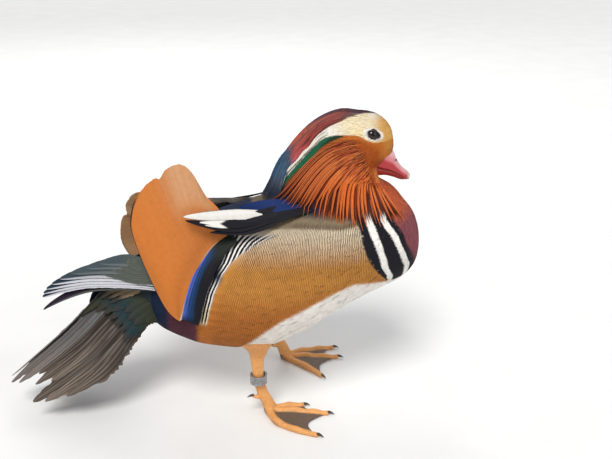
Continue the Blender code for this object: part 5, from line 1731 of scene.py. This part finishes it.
def web_form(first, second):
    """A thin web between two toes, drawn in towards its middle and slightly wavy."""
    part = np.linspace(0, 1, 24)
    sag = 0.5 * np.sin(np.pi * part * 3) * 0.35
    lines = []
    for reach in np.linspace(0.06, 0.93, 30):
        share = reach * (1 - 0.22 * np.sin(np.pi * part) * rise(reach, 0.1, 0.4))
        a = curve(first, share)
        spot = a + (curve(second, share) - a) * part[:, None]
        lines.append(np.column_stack([spot, 2.3 - 0.9 * reach + sag]))
    grid = np.stack(lines)
    return plate(grid, grid_normals(grid), np.full(grid.shape[:2], WEB_OF_FOOT))


def leg_material():
    """Orange scaled skin with fine dark lines between the scutes."""
    nodes = Nodes("leg_skin")
    inputs = {"Scale": 620, "Vector": nodes.place()}
    cells = nodes.add("ShaderNodeTexVoronoi", inputs, feature="DISTANCE_TO_EDGE")
    scale = nodes.remap(cells.outputs["Distance"], 0.0, 0.12, 0.0, 1.0)
    colour = nodes.mottled(300, 4, 0.86, 1.12)
    colour = nodes.blend(nodes.remap(scale, 0, 1, 0.30, 0.0), colour, SCALE_EDGE)
    nodes.bump(scale, 0.5, 0.0003)
    return nodes.finish(colour, 0.45, specular=0.45)


def make_leg(side, word, material):
    rows, toes = (RIGHT_LEG, RIGHT_TOES) if side == RIGHT else (LEFT_LEG, LEFT_TOES)
    parts = [leg_form(rows, side)]
    for toe, bends in toes.items():
        parts.append(toe_form(bends, HIND_TOE_HEIGHT if toe == "hind" else 0.0))
    parts += [web_form(toes["inner"], toes["middle"]), web_form(toes["middle"], toes["outer"])]
    points, triangles = remeshed(parts, LEG_VOXEL, 3)
    away = np.full(len(points), 1e3)
    for toe in ("inner", "middle", "outer"):
        for spot in curve(toes[toe], np.linspace(0, 1, 30)):
            away = np.minimum(away, np.hypot(points[:, 0] - spot[0], points[:, 1] - spot[1]))
    colours = layered(
        LEG_ORANGE,
        (WEB_DARK, rise(away, 2.2, 1.6) * (points[:, 2] < 5)),
        (LEG_PALE, rise(points[:, 2], 40, 12) * 0.5),
    )
    look = (material, "leg_skin", "leg_" + word, "foot_" + word)
    solid_piece("leg_and_foot_" + word, points, triangles, colours, *look)


def claw_material():
    nodes = Nodes("claw_horn")
    grain = nodes.remap(nodes.noise(900, 4), 0.3, 0.7, 0.0, 1.0)
    colour = nodes.blend(grain, (0.030, 0.022, 0.018), (0.085, 0.062, 0.048))
    return nodes.finish(colour, 0.32, specular=0.5)


def band_material():
    nodes = Nodes("ring_metal")
    wear = nodes.remap(nodes.noise(420, 5), 0.35, 0.7, 0.0, 1.0)
    colour = nodes.blend(wear, (0.26, 0.26, 0.27), (0.46, 0.46, 0.47))
    nodes.shader.inputs["Metallic"].default_value = 1.0
    nodes.bump(nodes.noise(1400, 3), 0.2, 0.0001)
    return nodes.finish(colour, 0.42)


def dress_claws_and_band():
    looks = {"claw": claw_material(), "leg_band": band_material()}
    for name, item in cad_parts.items():
        for start, look in looks.items():
            if name.startswith(start):
                item.data.materials.clear()
                item.data.materials.append(look)


def make_floor():
    nodes = Nodes("pale_floor")
    grain = nodes.remap(nodes.noise(14, 5), 0.35, 0.65, 0.0, 1.0)
    colour = nodes.blend(grain, (0.80, 0.80, 0.79), (0.83, 0.83, 0.82))
    corners = np.array([[-1, -1, 0], [1, -1, 0], [1, 1, 0], [-1, 1, 0]])
    floor = add_mesh("floor", corners * FLOOR_HALF, np.array([[0, 1, 2], [0, 2, 3]]))
    floor.data.materials.append(nodes.finish(colour, 0.9, specular=0.2))


def aim(item, place, target):
    item.location = Vector((place + SHIFT) * MM)
    item.rotation_euler = (Vector(target) - Vector(place)).to_track_quat("-Z", "Y").to_euler()


def add_light(name, kind, place, power, colour, **settings):
    light = bpy.data.lights.new(name, kind)
    light.energy = power
    light.color = colour
    for key, value in settings.items():
        setattr(light, key, value)
    item = add_object(name, light)
    aim(item, np.array(place, float), LIGHT_TARGET)


def make_light():
    """A large soft key from the camera's side, a weak fill from ahead, and an even pale surround."""
    add_light("key", "SUN", (-260, -700, 1100), 2.3, (1.0, 0.985, 0.96), angle=math.radians(24))
    add_light("fill", "AREA", (1300, -900, 900), 6, (0.95, 0.97, 1.0), shape="DISK", size=1.4)
    add_light("rim", "AREA", (-200, 1400, 1300), 8, (1, 1, 1), shape="DISK", size=1.0)
    world = bpy.data.worlds.new("studio")
    world.use_nodes = True
    back = world.node_tree.nodes["Background"]
    back.inputs["Color"].default_value = (0.95, 0.965, 1.0, 1.0)
    back.inputs["Strength"].default_value = 0.47
    bpy.context.scene.world = world


def make_camera():
    """The photograph's viewpoint, with colours shown as the materials state them."""
    camera = bpy.data.cameras.new("camera")
    camera.lens = CAMERA_LENS
    camera.sensor_width = CAMERA_SENSOR
    item = add_object("camera", camera)
    aim(item, CAMERA_PLACE, CAMERA_TARGET)
    bpy.context.scene.camera = item
    bpy.context.scene.view_settings.view_transform = "Standard"


def main():
    skin = Skin()
    make_skin(skin)
    looks = {
        "trunk": feather_material("soft_plumage", 0.8, 0.55, depth=0.10, relief=0.08, lines=True),
        "head": feather_material("head_plumage", 0.7, 0.4, depth=0.12, relief=0.08),
    }
    silk = feather_material("silky_crest", 0.45, 0.5, specular=0.3)
    orange = feather_material("hackle_plumage", 0.55, 0.5, specular=0.2)
    stiff = feather_material("stiff_vanes", 0.55, 0.8)
    body_feathers(skin, np.random.default_rng(11), looks)
    make_hackles(skin, np.random.default_rng(12), orange)
    make_crest(skin, np.random.default_rng(13), silk)
    make_sails(np.random.default_rng(14), stiff)
    make_scapulars(np.random.default_rng(15), stiff)
    make_flank_edge(skin, np.random.default_rng(16), looks["trunk"])
    draw = np.random.default_rng(17)
    for side, word in SIDES:
        make_wing_core(side, word, stiff)
        make_secondaries(side, word, draw, stiff)
        make_primaries(side, word, draw, stiff)
    make_tail(draw, stiff)
    horn = bill_material()
    make_bill(horn)
    make_eyes(skin, eye_material(), horn)
    scaled = leg_material()
    for side, word in SIDES:
        make_leg(side, word, scaled)
    dress_claws_and_band()
    make_floor()
    make_light()
    make_camera()


main()
